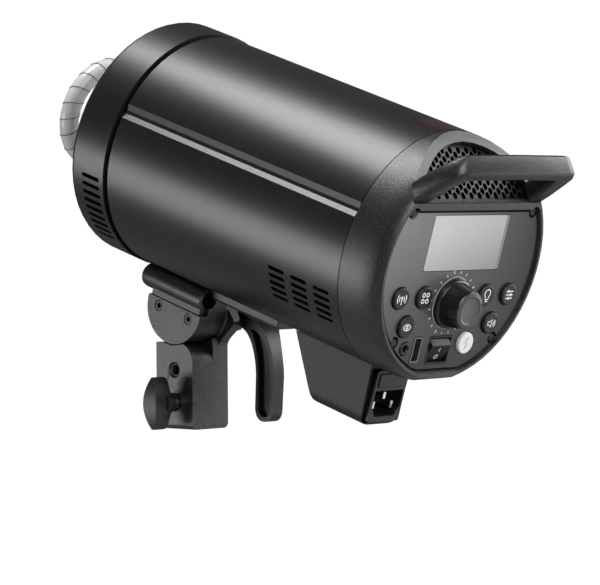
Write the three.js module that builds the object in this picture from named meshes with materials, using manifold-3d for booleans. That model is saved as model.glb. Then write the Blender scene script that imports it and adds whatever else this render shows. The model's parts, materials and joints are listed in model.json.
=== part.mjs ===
// Monolight strobe: a studio flash head on a tilting stand bracket.
// Millimetres. +Z is up, the light leaves towards -Y, the control panel faces +Y, and +X is the head's left side.
// The origin is the middle of the blind end of the bracket's stand socket, where a stand's spigot stops.

import * as THREE from 'three';
import { mergeVertices } from 'three/addons/utils/BufferGeometryUtils.js';
import Module from 'manifold-3d';

const wasm = await Module();
wasm.setup();

// ---------------------------------------------------------------- driving dimensions

const GAP = 0.3; // clearance between pieces that touch
const TILT = THREE.MathUtils.degToRad(17.9); // how far the nose points up at rest
const ROUND_LARGE = 54; // sides of a large round
const ROUND_MEDIUM = 28;
const ROUND_SMALL = 14;

// Head: its own frame has Y along the flash head's axis, rearwards, and Y = 0 at the seam behind the front ring.
const RING_R = 63.5; // front ring, 127 mm across
const RING_LENGTH = 25.3;
const RING_BORE_R = 57;
const RING_VENT_ANGLES = angleRow(-50.7, 4.33, 9);
const RING_VENT_FRONT = -16.4;
const RING_VENT_REAR = -3.2;
const RING_VENT_WIDTH = 2.3;
const TUBE_R = 62.45; // main tube
const TUBE_WALL = 2.2;
const TUBE_START = 2; // leaves a dark seam behind the front ring
const TUBE_END = 167.3;
const FLUTE_ANGLE = 20.5; // degrees above the horizontal
const FLUTE_DEPTH = 1.5;
const VENT_ROWS = [119.5, 134.9, 150.5]; // where each row of flank vents starts
const VENT_ANGLES = angleRow(-37.2, 3.88, 5);
const VENT_LENGTH = 11;
const VENT_WIDTH = 2.2;
const CAP_START = 167.8;
const CAP_END = 192.5; // where the sloping arch face starts
const CAP_RIM_R = 58.7;
const RIM_END = 193.2; // plane of the rim round the control panel
const RIM_INNER_R = 57.2;
const RIM_INNER_TOP = 29.1;
const RIM_INNER_CHIN = -55.6;
const CAP_BORE_R = 57;
const PANEL_FACE = 191.6; // the panel sits inside the rim
const PANEL_THICKNESS = 2;
const PANEL_R = 55.4;
const PANEL_TOP = 27.4;
const PANEL_CHIN = -53.2; // both panel and rim end in a short flat at the bottom
const ARCH_FOOT = 33; // height where the sloping arch face leaves the rim
const ARCH_TOP_Y = 169.3; // where the arch face meets the top of the cap
const ARCH_BULGE = 2.2;

// Flash tube: a ring of glass on two legs.
const FLASH_RING_R = 26.2;
const FLASH_TUBE_R = 4.5;
const FLASH_RING_Y = -69.8;
const SOCKET_R = 21;
const SOCKET_FACE_Y = -16;

// Power box under the tube.
const PSU_TOP_HALF = 16;
const PSU_BOTTOM_HALF = 14.3;
const PSU_FLOOR = -92.8;
const PSU_FRONT_TOP = 110.5;
const PSU_FRONT_BOTTOM = 130;
const PSU_REAR = 163.8;
const INLET_REAR = 166.3;
const INLET_HALF = 11.8;
const INLET_TOP = -63.4;
const INLET_FLOOR = -90.6;

// Bracket: heights from the underside of its block.
const BLOCK_HALF_X = 13.4;
const BLOCK_HALF_Y = 13.15;
const BLOCK_HEIGHT = 45.6;
const SPIGOT_SOCKET_R = 8.1; // takes a 16 mm spigot
const SPIGOT_SOCKET_DEPTH = 36;
const PIVOT_HEIGHT = 64.2;
const ARM_OUTER_X = -13.5;
const ARM_INNER_X = -7;
const CLAMP_HEIGHT = 14.2;
const CLAMP_SCREW_R = 3.8;
const CROSS_HOLE_HEIGHT = 31.1;

// Tilt pivot, as seen from the head's frame.
const PIVOT_Y = 23.4;
const PIVOT_Z = -78.3;
const YOKE_R = 19.6;
const YOKE_LEFT_X = 13.3;
const YOKE_RIGHT_X = -5.8;
const YOKE_CHORD = -77.3;
const TILT_BOLT_R = 4;
const UMBRELLA_X = 8;
const UMBRELLA_Z = -69;
const UMBRELLA_OUTER_R = 6.6;
const UMBRELLA_BORE_R = 4.3;
const RAIL_LEFT = 8;
const RAIL_RIGHT = -6.5; // set in, so that the bracket arm clears it
const RAIL_EDGE = 1.5; // chamfer along its lower edges
const RAIL_FLOOR = -67.8;
const RAIL_REAR = 91.3;

// Lever.
const LEVER_INNER_X = -14.5;
const LEVER_HUB_X = -33;
const LEVER_GRIP_X = -22.3;

// ---------------------------------------------------------------- finishes

const BLACK_SHELL = { color: 0x1c1c1e, roughness: 0.55, metalness: 0.1 };
const BLACK_PLASTIC = { color: 0x202022, roughness: 0.62, metalness: 0 };
const DARK_CAST = { color: 0x2a2a2c, roughness: 0.6, metalness: 0.4 };
const GLOSS_PANEL = { color: 0x2b2c2f, roughness: 0.35, metalness: 0 };
const SOFT_KEY = { color: 0x18181a, roughness: 0.5, metalness: 0 };
const WHITE_KEY = { color: 0xf2f2f0, roughness: 0.4, metalness: 0 };
const LCD_GREY = { color: 0x9a9ea0, roughness: 0.2, metalness: 0 };
const RED_LENS = { color: 0x3a1414, roughness: 0.2, metalness: 0 };
const CLEAR_GLASS = { color: 0xe8eef0, roughness: 0.05, metalness: 0 };
const BRIGHT_METAL = { color: 0xb8babd, roughness: 0.3, metalness: 1 };
const DISH_METAL = { color: 0xd8d8d4, roughness: 0.4, metalness: 0.6 };
const CERAMIC = { color: 0xe6e2da, roughness: 0.7, metalness: 0 };
const BOARD_GREEN = { color: 0x1f5a38, roughness: 0.6, metalness: 0 };
const CAN_BLUE = { color: 0x22324a, roughness: 0.4, metalness: 0 };

// ---------------------------------------------------------------- solids

function dropFlatTriangles(index) {
  const kept = [];
  for (let i = 0; i < index.length; i += 3) {
    const [a, b, c] = [index[i], index[i + 1], index[i + 2]];
    if (a !== b && b !== c && c !== a) kept.push(a, b, c);
  }
  return kept;
}

function signedVolume(position, index) {
  const a = new THREE.Vector3();
  const b = new THREE.Vector3();
  const c = new THREE.Vector3();
  let sum = 0;
  for (let i = 0; i < index.length; i += 3) {
    a.fromBufferAttribute(position, index[i]);
    b.fromBufferAttribute(position, index[i + 1]);
    c.fromBufferAttribute(position, index[i + 2]);
    sum += a.dot(b.cross(c)) / 6;
  }
  return sum;
}

// A closed three.js geometry as a solid, with its faces pointing out.
function solid(geometry) {
  geometry.deleteAttribute('normal');
  geometry.deleteAttribute('uv');
  const merged = mergeVertices(geometry, 1e-4);
  const index = dropFlatTriangles(merged.index.array);
  if (signedVolume(merged.attributes.position, index) < 0) index.reverse();
  return new wasm.Manifold(new wasm.Mesh({
    numProp: 3,
    vertProperties: new Float32Array(merged.attributes.position.array),
    triVerts: new Uint32Array(index),
  }));
}

function cut(base, ...tools) {
  return tools.reduce((left, tool) => left.subtract(tool), base);
}

function join(base, ...others) {
  return others.reduce((left, other) => left.add(other), base);
}

// A round form about the Y axis from [radius, y] points that start and end on the axis or go round a closed ring.
function turned(points, sides = ROUND_LARGE) {
  const outline = points.map(([r, y]) => new THREE.Vector2(r, y));
  if (points[0][0] > 0) outline.push(outline[0].clone());
  return solid(new THREE.LatheGeometry(outline, sides));
}

function cylinderY(radius, y0, y1, sides = ROUND_MEDIUM) {
  return turned([[0, y0], [radius, y0], [radius, y1], [0, y1]], sides);
}

function cylinderX(radius, x0, x1, y, z, sides = ROUND_MEDIUM) {
  const geometry = new THREE.CylinderGeometry(radius, radius, x1 - x0, sides);
  geometry.rotateZ(Math.PI / 2);
  geometry.translate((x0 + x1) / 2, y, z);
  return solid(geometry);
}

// A countersink in a face at x, opening towards +X.
function countersinkX(radius, depth, x, y, z) {
  const geometry = new THREE.CylinderGeometry(radius, radius - depth, depth, 24);
  geometry.rotateZ(-Math.PI / 2);
  geometry.translate(x - depth / 2, y, z);
  return solid(geometry);
}

function cylinderZ(radius, z0, z1, sides = ROUND_MEDIUM) {
  const geometry = new THREE.CylinderGeometry(radius, radius, z1 - z0, sides);
  geometry.rotateX(Math.PI / 2);
  geometry.translate(0, 0, (z0 + z1) / 2);
  return solid(geometry);
}

function block(x0, x1, y0, y1, z0, z1) {
  const geometry = new THREE.BoxGeometry(x1 - x0, y1 - y0, z1 - z0);
  geometry.translate((x0 + x1) / 2, (y0 + y1) / 2, (z0 + z1) / 2);
  return solid(geometry);
}

// A flat outline in X and Z, pushed along Y.
function alongY(shape, y0, y1, curveSegments = 12) {
  const geometry = new THREE.ExtrudeGeometry(shape, { depth: y1 - y0, bevelEnabled: false, curveSegments });
  geometry.rotateX(Math.PI / 2);
  geometry.translate(0, y1, 0);
  return solid(geometry);
}

// A flat outline in Y and Z, pushed along X.
function alongX(shape, x0, x1, curveSegments = 12) {
  const geometry = new THREE.ExtrudeGeometry(shape, { depth: x1 - x0, bevelEnabled: false, curveSegments });
  const turn = new THREE.Matrix4().makeBasis(
    new THREE.Vector3(0, 1, 0),
    new THREE.Vector3(0, 0, 1),
    new THREE.Vector3(1, 0, 0),
  );
  geometry.applyMatrix4(turn);
  geometry.translate(x0, 0, 0);
  return solid(geometry);
}

function polygon(points) {
  return new THREE.Shape(points.map(([a, b]) => new THREE.Vector2(a, b)));
}

function roundedRect(halfA, halfB, r, a = 0, b = 0) {
  const shape = new THREE.Shape();
  shape.moveTo(a - halfA + r, b - halfB);
  shape.lineTo(a + halfA - r, b - halfB);
  shape.absarc(a + halfA - r, b - halfB + r, r, -Math.PI / 2, 0, false);
  shape.lineTo(a + halfA, b + halfB - r);
  shape.absarc(a + halfA - r, b + halfB - r, r, 0, Math.PI / 2, false);
  shape.lineTo(a - halfA + r, b + halfB);
  shape.absarc(a - halfA + r, b + halfB - r, r, Math.PI / 2, Math.PI, false);
  shape.lineTo(a - halfA, b - halfB + r);
  shape.absarc(a - halfA + r, b - halfB + r, r, Math.PI, 1.5 * Math.PI, false);
  return shape;
}

// Part of a disc of radius r, kept between two heights.
function panelOutline(r, top, floor) {
  const topAngle = Math.asin(top / r);
  const floorAngle = Math.asin(-floor / r);
  const shape = new THREE.Shape();
  shape.absarc(0, 0, r, Math.PI - topAngle, Math.PI + floorAngle, false);
  shape.absarc(0, 0, r, 2 * Math.PI - floorAngle, 2 * Math.PI + topAngle, false);
  return shape;
}

function addPiece(parent, name, form, finish, position = [0, 0, 0]) {
  const mesh = form.getMesh();
  const geometry = new THREE.BufferGeometry();
  geometry.setAttribute('position', new THREE.BufferAttribute(mesh.vertProperties, 3));
  geometry.setIndex(new THREE.BufferAttribute(mesh.triVerts, 1));
  geometry.computeVertexNormals();
  const piece = new THREE.Mesh(geometry, new THREE.MeshStandardMaterial(finish));
  piece.name = name;
  piece.position.set(...position);
  parent.add(piece);
}

// ---------------------------------------------------------------- front of the head

// Round-ended slots through a round wall, one row of angles at one place along the axis.
function radialSlots(radius, angles, y0, y1, width) {
  const outline = roundedRect((y1 - y0) / 2, width / 2, 0.48 * width, (y0 + y1) / 2, 0);
  const slot = alongX(outline, radius - 7, radius + 7, 2);
  return angles.map((degrees) => slot.rotate([0, -degrees, 0]));
}

function angleRow(first, pitch, count) {
  return Array.from({ length: count }, (_, i) => first + i * pitch);
}

const LATCH_ANGLE = 172; // on the right flank, above the vents
const LATCH_TRAVEL = 5;

function latchBody(clearance, y0, y1, r0, r1) {
  const half = 5.6 + clearance;
  const geometry = new THREE.BoxGeometry(r1 - r0, y1 - y0, 2 * half);
  geometry.translate((r0 + r1) / 2, (y0 + y1) / 2, 0);
  geometry.rotateY(THREE.MathUtils.degToRad(-LATCH_ANGLE));
  return solid(geometry);
}

function addFront(head) {
  const shroud = turned([
    [RING_BORE_R, -RING_LENGTH], [61.3, -RING_LENGTH], [62.8, -24.5], [RING_R, -22.8],
    [RING_R, -0.5], [59.6, -0.5], [59.6, 8], [RING_BORE_R, 8],
  ]);
  const bothFlanks = [...RING_VENT_ANGLES, ...RING_VENT_ANGLES.map((a) => 180 - a)];
  const latchSlot = latchBody(0.4, -20.4, -20.4 + 12.8 + LATCH_TRAVEL, 55, 70);
  addPiece(head, 'front_shroud', cut(
    shroud,
    ...radialSlots(RING_R - 3, bothFlanks, RING_VENT_FRONT, RING_VENT_REAR, RING_VENT_WIDTH),
    latchSlot,
  ), BLACK_PLASTIC);

  const bayonet = turned([
    [49, -23.6], [56.6, -23.6], [56.6, -8], [54.2, -8], [54.2, -20.6], [49, -20.6],
  ]);
  const notches = [90, 210, 330].map((degrees) => {
    const geometry = new THREE.BoxGeometry(7, 6, 17);
    geometry.translate(49, -22, 0);
    geometry.rotateY(THREE.MathUtils.degToRad(-degrees));
    return solid(geometry);
  });
  addPiece(head, 'bayonet_ring', cut(bayonet, ...notches), BRIGHT_METAL);

  addPiece(head, 'release_latch', join(
    latchBody(0, -20, -8, 57, 62.6),
    latchBody(-1, -19, -9, 62, 64.4),
  ), BLACK_PLASTIC);

  addPiece(head, 'reflector_dish', turned([
    [SOCKET_R + 0.4, -6], [40, -6.6], [53.7, -12], [53.7, -10.4], [40.5, -5], [SOCKET_R + 0.4, -4.4],
  ]), DISH_METAL);

  addPiece(head, 'lamp_socket', turned([
    [0, SOCKET_FACE_Y], [SOCKET_R - 2, SOCKET_FACE_Y], [SOCKET_R, SOCKET_FACE_Y + 2], [SOCKET_R, 12], [0, 12],
  ], ROUND_MEDIUM), CERAMIC);

  addPiece(head, 'modelling_lamp', turned([
    [0, SOCKET_FACE_Y - 9], [5, SOCKET_FACE_Y - 8.4], [9.5, SOCKET_FACE_Y - 6], [11.4, SOCKET_FACE_Y - 3],
    [13, SOCKET_FACE_Y - 3], [13, SOCKET_FACE_Y - GAP], [0, SOCKET_FACE_Y - GAP],
  ], ROUND_MEDIUM), CLEAR_GLASS);

  addPiece(head, 'flash_tube', flashTube(), CLEAR_GLASS);
}

// The glass ring is open at the bottom, where its two ends turn back to the socket.
function flashTube() {
  const legX = 8;
  const legZ = -17.4;
  const halfOpening = THREE.MathUtils.degToRad(22);
  const points = [
    new THREE.Vector3(legX, SOCKET_FACE_Y - GAP, legZ),
    new THREE.Vector3(legX, -40, legZ),
    new THREE.Vector3(legX, FLASH_RING_Y + 11, legZ - 1),
  ];
  const stops = 16;
  for (let i = 0; i <= stops; i += 1) {
    const angle = -Math.PI / 2 + halfOpening + (i / stops) * (2 * Math.PI - 2 * halfOpening);
    points.push(new THREE.Vector3(FLASH_RING_R * Math.cos(angle), FLASH_RING_Y, FLASH_RING_R * Math.sin(angle)));
  }
  points.push(
    new THREE.Vector3(-legX, FLASH_RING_Y + 11, legZ - 1),
    new THREE.Vector3(-legX, -40, legZ),
    new THREE.Vector3(-legX, SOCKET_FACE_Y - GAP, legZ),
  );
  const section = new THREE.Shape().absarc(0, 0, FLASH_TUBE_R, 0, 2 * Math.PI, false);
  return solid(new THREE.ExtrudeGeometry(section, {
    steps: 48,
    curveSegments: 5,
    bevelEnabled: false,
    extrudePath: new THREE.CatmullRomCurve3(points),
  }));
}

// ---------------------------------------------------------------- control panel layout, as [x, z]

const DIAL = [1.2, -19.1];
const KEYS = [
  ['radio_key', 41.3, -15.6],
  ['group_key', 23.8, -15.6],
  ['lamp_key', -23.8, -15.6],
  ['function_key', -41.3, -15.6],
  ['slave_key', 32.4, -30.4],
  ['beeper_key', -32.4, -30.4],
];
const KEY_R = 5.6;
const TEST_KEY = [-16.4, -40.4];
const ROCKER = [2.2, -43.5];
const ROCKER_HALF = [8.4, 7.1];
const USB = [19.4, -43];
const USB_HALF = [3, 6.6];
const JACK = [28.6, -42];
const JACK_R = 3.5;
const SCREEN = [0, 11.9];
const SCREEN_HALF = [28.7, 14.1];
const SCREWS = [[45.9, 27.4], [-45.9, 27.4], [37.6, -38.6], [-37.6, -38.6]];
const SCREW_RECESS_R = 3.2;
const SCREW_BOSS_R = 3.7;

// ---------------------------------------------------------------- tube and rear cap

const WINDOW_START = 148;
const WINDOW_END = 166.7;
const WINDOW_HALF_ANGLE = THREE.MathUtils.degToRad(9.6);

function windowForm(inset, r0, r1) {
  const start = Math.PI / 2 - WINDOW_HALF_ANGLE + inset / TUBE_R;
  const end = Math.PI / 2 + WINDOW_HALF_ANGLE - inset / TUBE_R;
  const shape = new THREE.Shape();
  shape.absarc(0, 0, r1, start, end, false);
  shape.absarc(0, 0, r0, end, start, true);
  return alongY(shape, WINDOW_START + inset, WINDOW_END - inset, 6);
}

function addTube(head) {
  const tube = turned([
    [TUBE_R - TUBE_WALL, TUBE_START], [TUBE_R, TUBE_START],
    [TUBE_R, TUBE_END], [TUBE_R - TUBE_WALL, TUBE_END],
  ]);
  const bothFlanks = [...VENT_ANGLES, ...VENT_ANGLES.map((a) => 180 - a)];
  const vents = VENT_ROWS.flatMap((y) => radialSlots(TUBE_R - 3, bothFlanks, y, y + VENT_LENGTH, VENT_WIDTH));
  // A shallow trough along each flank: a long upper slope, a narrow floor and a steeper lower slope.
  const trough = polygon([
    [TUBE_R + 1, 6.8], [TUBE_R - 1.3, 0.75], [TUBE_R - FLUTE_DEPTH, -1.1], [TUBE_R + 1, -6.2],
  ]);
  const flute = alongY(trough, -5, TUBE_END + 5).rotate([0, -FLUTE_ANGLE, 0]);
  addPiece(head, 'body_tube', cut(
    tube, ...vents, flute, flute.mirror([1, 0, 0]), windowForm(0, 55, 70),
  ), BLACK_SHELL);
  addPiece(head, 'sensor_window', windowForm(GAP, TUBE_R - TUBE_WALL, TUBE_R - 0.1), RED_LENS);
}

// Everything behind the sloping arch face, moved along the axis by offset.
function beyondArch(offset) {
  const foot = [CAP_END + offset, ARCH_FOOT];
  const top = [ARCH_TOP_Y + offset, TUBE_R];
  const length = Math.hypot(foot[0] - top[0], foot[1] - top[1]);
  const normal = [(top[1] - foot[1]) / length, (foot[0] - top[0]) / length];
  const control = [
    (foot[0] + top[0]) / 2 + 2 * ARCH_BULGE * normal[0],
    (foot[1] + top[1]) / 2 + 2 * ARCH_BULGE * normal[1],
  ];
  const shape = new THREE.Shape();
  shape.moveTo(foot[0] + 60, foot[1]);
  shape.lineTo(foot[0] + 60, 90);
  shape.lineTo(top[0] - (90 - top[1]) * 0.9, 90);
  shape.lineTo(...top);
  shape.quadraticCurveTo(...control, ...foot);
  return alongX(shape, -80, 80, 6);
}

const ARCH_SLOPE = Math.atan2(CAP_END - ARCH_TOP_Y, TUBE_R - ARCH_FOOT);
const ARCH_RISE = (TUBE_R - ARCH_FOOT) / Math.cos(ARCH_SLOPE);

// Opening of the arch: across the head, and up the slope from its foot.
function archOutline(inset) {
  const reach = 52.5 - inset;
  const foot = 1.3 + inset;
  const centre = -ARCH_FOOT;
  const squash = (ARCH_RISE - 6.2 - inset - centre) / reach;
  const shape = new THREE.Shape();
  const side = reach * Math.cos(Math.asin((foot - centre) / (reach * squash)));
  shape.moveTo(side, foot);
  const steps = 14;
  const a0 = Math.acos(side / reach);
  for (let i = 1; i <= steps; i += 1) {
    const a = a0 + ((Math.PI - 2 * a0) * i) / steps;
    shape.lineTo(reach * Math.cos(a), centre + reach * squash * Math.sin(a));
  }
  return shape;
}

// Pushes an outline drawn on the arch's slope straight into it, from one depth to another.
function onArch(shape, depth0, depth1) {
  const geometry = new THREE.ExtrudeGeometry(shape, { depth: depth1 - depth0, bevelEnabled: false, curveSegments: 6 });
  geometry.translate(0, 0, depth0);
  geometry.rotateX(Math.PI / 2);
  geometry.rotateX(ARCH_SLOPE);
  geometry.translate(0, CAP_END, ARCH_FOOT);
  return solid(geometry);
}

function rearCap() {
  const outside = turned([
    [0, 160], [59.9, 160], [59.9, CAP_START], [TUBE_R, CAP_START], [TUBE_R, 181],
    [61.7, 187], [60.4, 191.2], [CAP_RIM_R, RIM_END], [0, RIM_END],
  ]);
  const hollow = cut(cylinderY(CAP_BORE_R, 159, 187.2, ROUND_LARGE), beyondArch(-4));
  const seatFloor = PANEL_FACE - PANEL_THICKNESS - GAP;
  const seat = panelOutline(PANEL_R + GAP, PANEL_TOP + GAP, PANEL_CHIN - GAP);
  const mouth = panelOutline(RIM_INNER_R, RIM_INNER_TOP, RIM_INNER_CHIN);
  const panelSeat = wasm.Manifold.hull([
    alongY(seat, seatFloor, PANEL_FACE - 0.8, 26),
    alongY(mouth, RIM_END, RIM_END + 0.4, 26),
  ]);
  const panelWindow = alongY(panelOutline(PANEL_R + 0.1, PANEL_TOP - 1.4, PANEL_CHIN + 0.6), 180, seatFloor + 1, 26);
  const bosses = SCREWS.map(([x, z]) => cylinderY(SCREW_BOSS_R, 176, 200, 16).translate([x, 0, z]));
  const screwHoles = SCREWS.map(([x, z]) => cylinderY(1.5, 183, 200, 12).translate([x, 0, z]));
  const recesses = SCREWS.map(([x, z]) => cylinderY(SCREW_RECESS_R, seatFloor, 200, 20).translate([x, 0, z]));
  const chin = new THREE.BoxGeometry(60, 20, 10);
  chin.rotateX(THREE.MathUtils.degToRad(24));
  chin.translate(0, 190, -64.8);
  return cut(
    outside,
    beyondArch(0),
    cut(join(hollow, panelWindow), ...bosses),
    panelSeat,
    ...screwHoles,
    ...recesses,
    onArch(archOutline(0), -8, 12),
    block(-70, 70, CAP_END, 200, ARCH_FOOT - GAP, 80),
    solid(chin),
  );
}

// True where a round of radius r at (x, z) keeps clear of a convex outline.
function fitsInside(outline, x, z, r) {
  return outline.every((a, i) => {
    const b = outline[(i + 1) % outline.length];
    const length = a.distanceTo(b);
    if (length < 1e-6) return true;
    return ((b.x - a.x) * (z - a.y) - (b.y - a.y) * (x - a.x)) / length > r;
  });
}

function hexagon(x, z, r) {
  const path = new THREE.Path();
  for (let i = 0; i < 6; i += 1) {
    const a = Math.PI / 6 + (i * Math.PI) / 3;
    if (i === 0) path.moveTo(x + r * Math.cos(a), z + r * Math.sin(a));
    else path.lineTo(x + r * Math.cos(a), z + r * Math.sin(a));
  }
  path.closePath();
  return path;
}

const GRILLE_DEPTH = 3.2; // below the arch face
const GRILLE_THICKNESS = 1.6;

function rearGrille() {
  const shape = archOutline(0.4);
  const outline = shape.getPoints();
  const cell = 2.8;
  const pitch = 6.4;
  const rows = 5;
  for (let row = 0; row < rows; row += 1) {
    const z = 8 + row * pitch * 0.866;
    for (let column = -9; column <= 9; column += 1) {
      const x = (column + (row % 2) / 2) * pitch;
      if (fitsInside(outline, x, z, cell + 0.9)) shape.holes.push(hexagon(x, z, cell));
    }
  }
  return onArch(shape, GRILLE_DEPTH, GRILLE_DEPTH + GRILLE_THICKNESS);
}

// ---------------------------------------------------------------- handle

const HANDLE_THICKNESS = 9.9;
const HANDLE_SLOPE = THREE.MathUtils.degToRad(44);
const HANDLE_REACH = 30.3; // along the slope, from the rim to the far side of the bar
const HANDLE_EDGE = 1.3; // chamfer round both faces
const HANDLE_ROOT = -9; // hidden end of the arms, below the arch face

// A sloping U that rises from the two upper corners of the rim. Its upper side is a little
// narrower and reaches further back than its lower side.
function handle() {
  const outer = [[49.4, HANDLE_ROOT], [49, 8], [47.2, 20], [45.9, 26], [43.4, 29], [39, 29.9]];
  const inner = [[30, 22.9], [34.6, 21.4], [36.4, 17.6], [37.6, 10], [38.4, HANDLE_ROOT]];
  const left = (points) => points.map(([x, y]) => [-x, y]).reverse();
  const shape = polygon([...outer, [0, HANDLE_REACH], ...left(outer), ...left(inner), [0, 23.6], ...inner]);
  const geometry = new THREE.ExtrudeGeometry(shape, {
    depth: HANDLE_THICKNESS - 2 * HANDLE_EDGE,
    bevelThickness: HANDLE_EDGE,
    bevelSize: HANDLE_EDGE,
    bevelOffset: -HANDLE_EDGE,
    bevelSegments: 1,
    curveSegments: 5,
  });
  geometry.translate(0, 0, HANDLE_EDGE);
  const spots = geometry.attributes.position;
  for (let i = 0; i < spots.count; i += 1) {
    const height = spots.getZ(i) / HANDLE_THICKNESS;
    const along = THREE.MathUtils.clamp(spots.getY(i) / HANDLE_REACH, 0, 1);
    spots.setX(i, spots.getX(i) * (1 - 0.1 * height * along ** 3));
    spots.setY(i, spots.getY(i) + 3.7 * height * along ** 2);
  }
  geometry.rotateX(HANDLE_SLOPE);
  geometry.translate(0, CAP_END + 0.2, ARCH_FOOT - 0.3);
  return cut(solid(geometry), beyondArchInverse());
}

// Everything in front of the arch face, so the handle's feet end on it.
function beyondArchInverse() {
  return cut(block(-90, 90, 120, 260, -20, 120), beyondArch(GAP));
}

// ---------------------------------------------------------------- control panel

function roundHole(x, z, r) {
  return new THREE.Path().absarc(x, z, r, 0, 2 * Math.PI, true);
}

function addPanel(head) {
  const outline = panelOutline(PANEL_R, PANEL_TOP, PANEL_CHIN);
  const plate = alongY(outline, PANEL_FACE - PANEL_THICKNESS, PANEL_FACE, 24);
  const through = (shape) => alongY(shape, 180, 200, 2);
  const roundThrough = ([x, z], r) => cylinderY(r, 180, 200, 16).translate([x, 0, z]);
  addPiece(head, 'control_panel', cut(
    plate,
    through(roundedRect(SCREEN_HALF[0] + GAP, SCREEN_HALF[1] + GAP, 1, ...SCREEN)),
    through(roundedRect(ROCKER_HALF[0] + GAP, ROCKER_HALF[1] + GAP, 1, ...ROCKER)),
    through(roundedRect(USB_HALF[0] + GAP, USB_HALF[1] + GAP, 0.8, ...USB)),
    roundThrough(JACK, JACK_R + GAP),
    roundThrough(TEST_KEY, KEY_R + GAP),
    roundThrough(DIAL, 3.8),
    ...KEYS.map(([, x, z]) => roundThrough([x, z], KEY_R + GAP)),
    ...SCREWS.map((place) => roundThrough(place, SCREW_RECESS_R)),
  ), GLOSS_PANEL);
  addPiece(head, 'display_window', alongY(roundedRect(...SCREEN_HALF, 0.8, ...SCREEN), PANEL_FACE - 1.6,
    PANEL_FACE + 0.1, 2), LCD_GREY);
  addPiece(head, 'display_module', block(-32, 32, 183.5, 188.6, -4, 23), BLACK_PLASTIC);

  const keyForm = turned([
    [0, PANEL_FACE - 1.8], [KEY_R, PANEL_FACE - 1.8], [KEY_R, PANEL_FACE + 0.9],
    [KEY_R - 0.6, PANEL_FACE + 1.4], [0, PANEL_FACE + 1.7],
  ], 16);
  KEYS.forEach(([name, x, z]) => addPiece(head, name, keyForm, SOFT_KEY, [x, 0, z]));
  addPiece(head, 'test_key', keyForm, WHITE_KEY, [TEST_KEY[0], 0, TEST_KEY[1]]);

  SCREWS.forEach(([x, z], i) => {
    const screw = turned([
      [0, 184], [1.2, 184], [1.2, 189.6], [2.5, 189.6], [2.5, 190.8], [1.9, 191.5], [0, 191.5],
    ], 12);
    addPiece(head, `panel_screw_${i + 1}`, screw, BRIGHT_METAL, [x, 0, z]);
  });
  addDial(head);
  addSwitchesAndSockets(head);
}

function addDial(head) {
  const [x, z] = DIAL;
  addPiece(head, 'encoder_body', cut(
    block(-7, 7, 182.6, 189.2, -7, 7), cylinderY(3.5, 184.4, 190, ROUND_SMALL),
  ), BLACK_PLASTIC, [x, 0, z]);
  addPiece(head, 'dial_plunger', cylinderY(3, 186.2, 188, ROUND_SMALL), BRIGHT_METAL, [x, 0, z]);
  addPiece(head, 'dial_shaft', cylinderY(3, 188.3, 201.5, ROUND_SMALL), BRIGHT_METAL, [x, 0, z]);
  const knob = turned([
    [3.3, PANEL_FACE + 1.2], [12.9, PANEL_FACE + 1.2], [12.9, PANEL_FACE + 1.8], [12.4, PANEL_FACE + 2.3],
    [11.7, PANEL_FACE + 2.6], [10.5, 203.2], [9.9, 204], [7.3, 204.6], [6.9, 204.2], [0, 203.6], [0, 201.8],
    [3.3, 201.8],
  ], ROUND_MEDIUM);
  const grips = Array.from({ length: 12 }, (_, i) => {
    const groove = new THREE.BoxGeometry(1.3, 9.5, 1.1);
    groove.rotateZ(0.13);
    groove.translate(11.4, 198.9, 0);
    groove.rotateY((i * 2 * Math.PI) / 12);
    return solid(groove);
  });
  addPiece(head, 'dial_knob', cut(knob, ...grips), SOFT_KEY, [x, 0, z]);
}

function addSwitchesAndSockets(head) {
  const [rx, rz] = ROCKER;
  const frameShape = roundedRect(...ROCKER_HALF, 0.8);
  frameShape.holes.push(roundedRect(ROCKER_HALF[0] - 0.7, ROCKER_HALF[1] - 0.6, 0.4));
  addPiece(head, 'rocker_frame', alongY(frameShape, 184, PANEL_FACE + 0.2, 2), BLACK_PLASTIC, [rx, 0, rz]);
  // At rest the lower end is pressed in, and the upper end stands proud with a steep end face.
  const rocker = polygon([[-4, -4.4], [-1.6, -5.9], [1.7, 2.7], [-0.9, 5.9], [-4, 4.4]]);
  addPiece(head, 'power_rocker', alongX(rocker, -7.3, 7.3), GLOSS_PANEL, [rx, PANEL_FACE, rz]);

  addPiece(head, 'sync_jack', turned([
    [1.7, 181], [JACK_R, 181], [JACK_R, PANEL_FACE + 0.3], [JACK_R - 0.6, PANEL_FACE + 0.7],
    [2.2, PANEL_FACE + 0.7], [1.7, PANEL_FACE],
  ], 24), BLACK_PLASTIC, [JACK[0], 0, JACK[1]]);

  const [usbX, usbZ] = USB_HALF;
  const wall = 0.7;
  const shell = alongY(roundedRect(usbX, usbZ, 0.6), 178, PANEL_FACE + 0.2, 2);
  const mouth = alongY(roundedRect(usbX - wall, usbZ - wall, 0.3), 181, 200, 2);
  const tongue = block(-1.9, -0.1, 179, 189.4, 1.4 - usbZ, usbZ - 1.4);
  addPiece(head, 'usb_port', join(cut(shell, mouth), tongue), BRIGHT_METAL, [USB[0], 0, USB[1]]);
}

// ---------------------------------------------------------------- power box

const COLD_INLET_TOP = -74;
const COLD_INLET_FLOOR = -87.8;
const INLET_BACK = 152.3;

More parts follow.
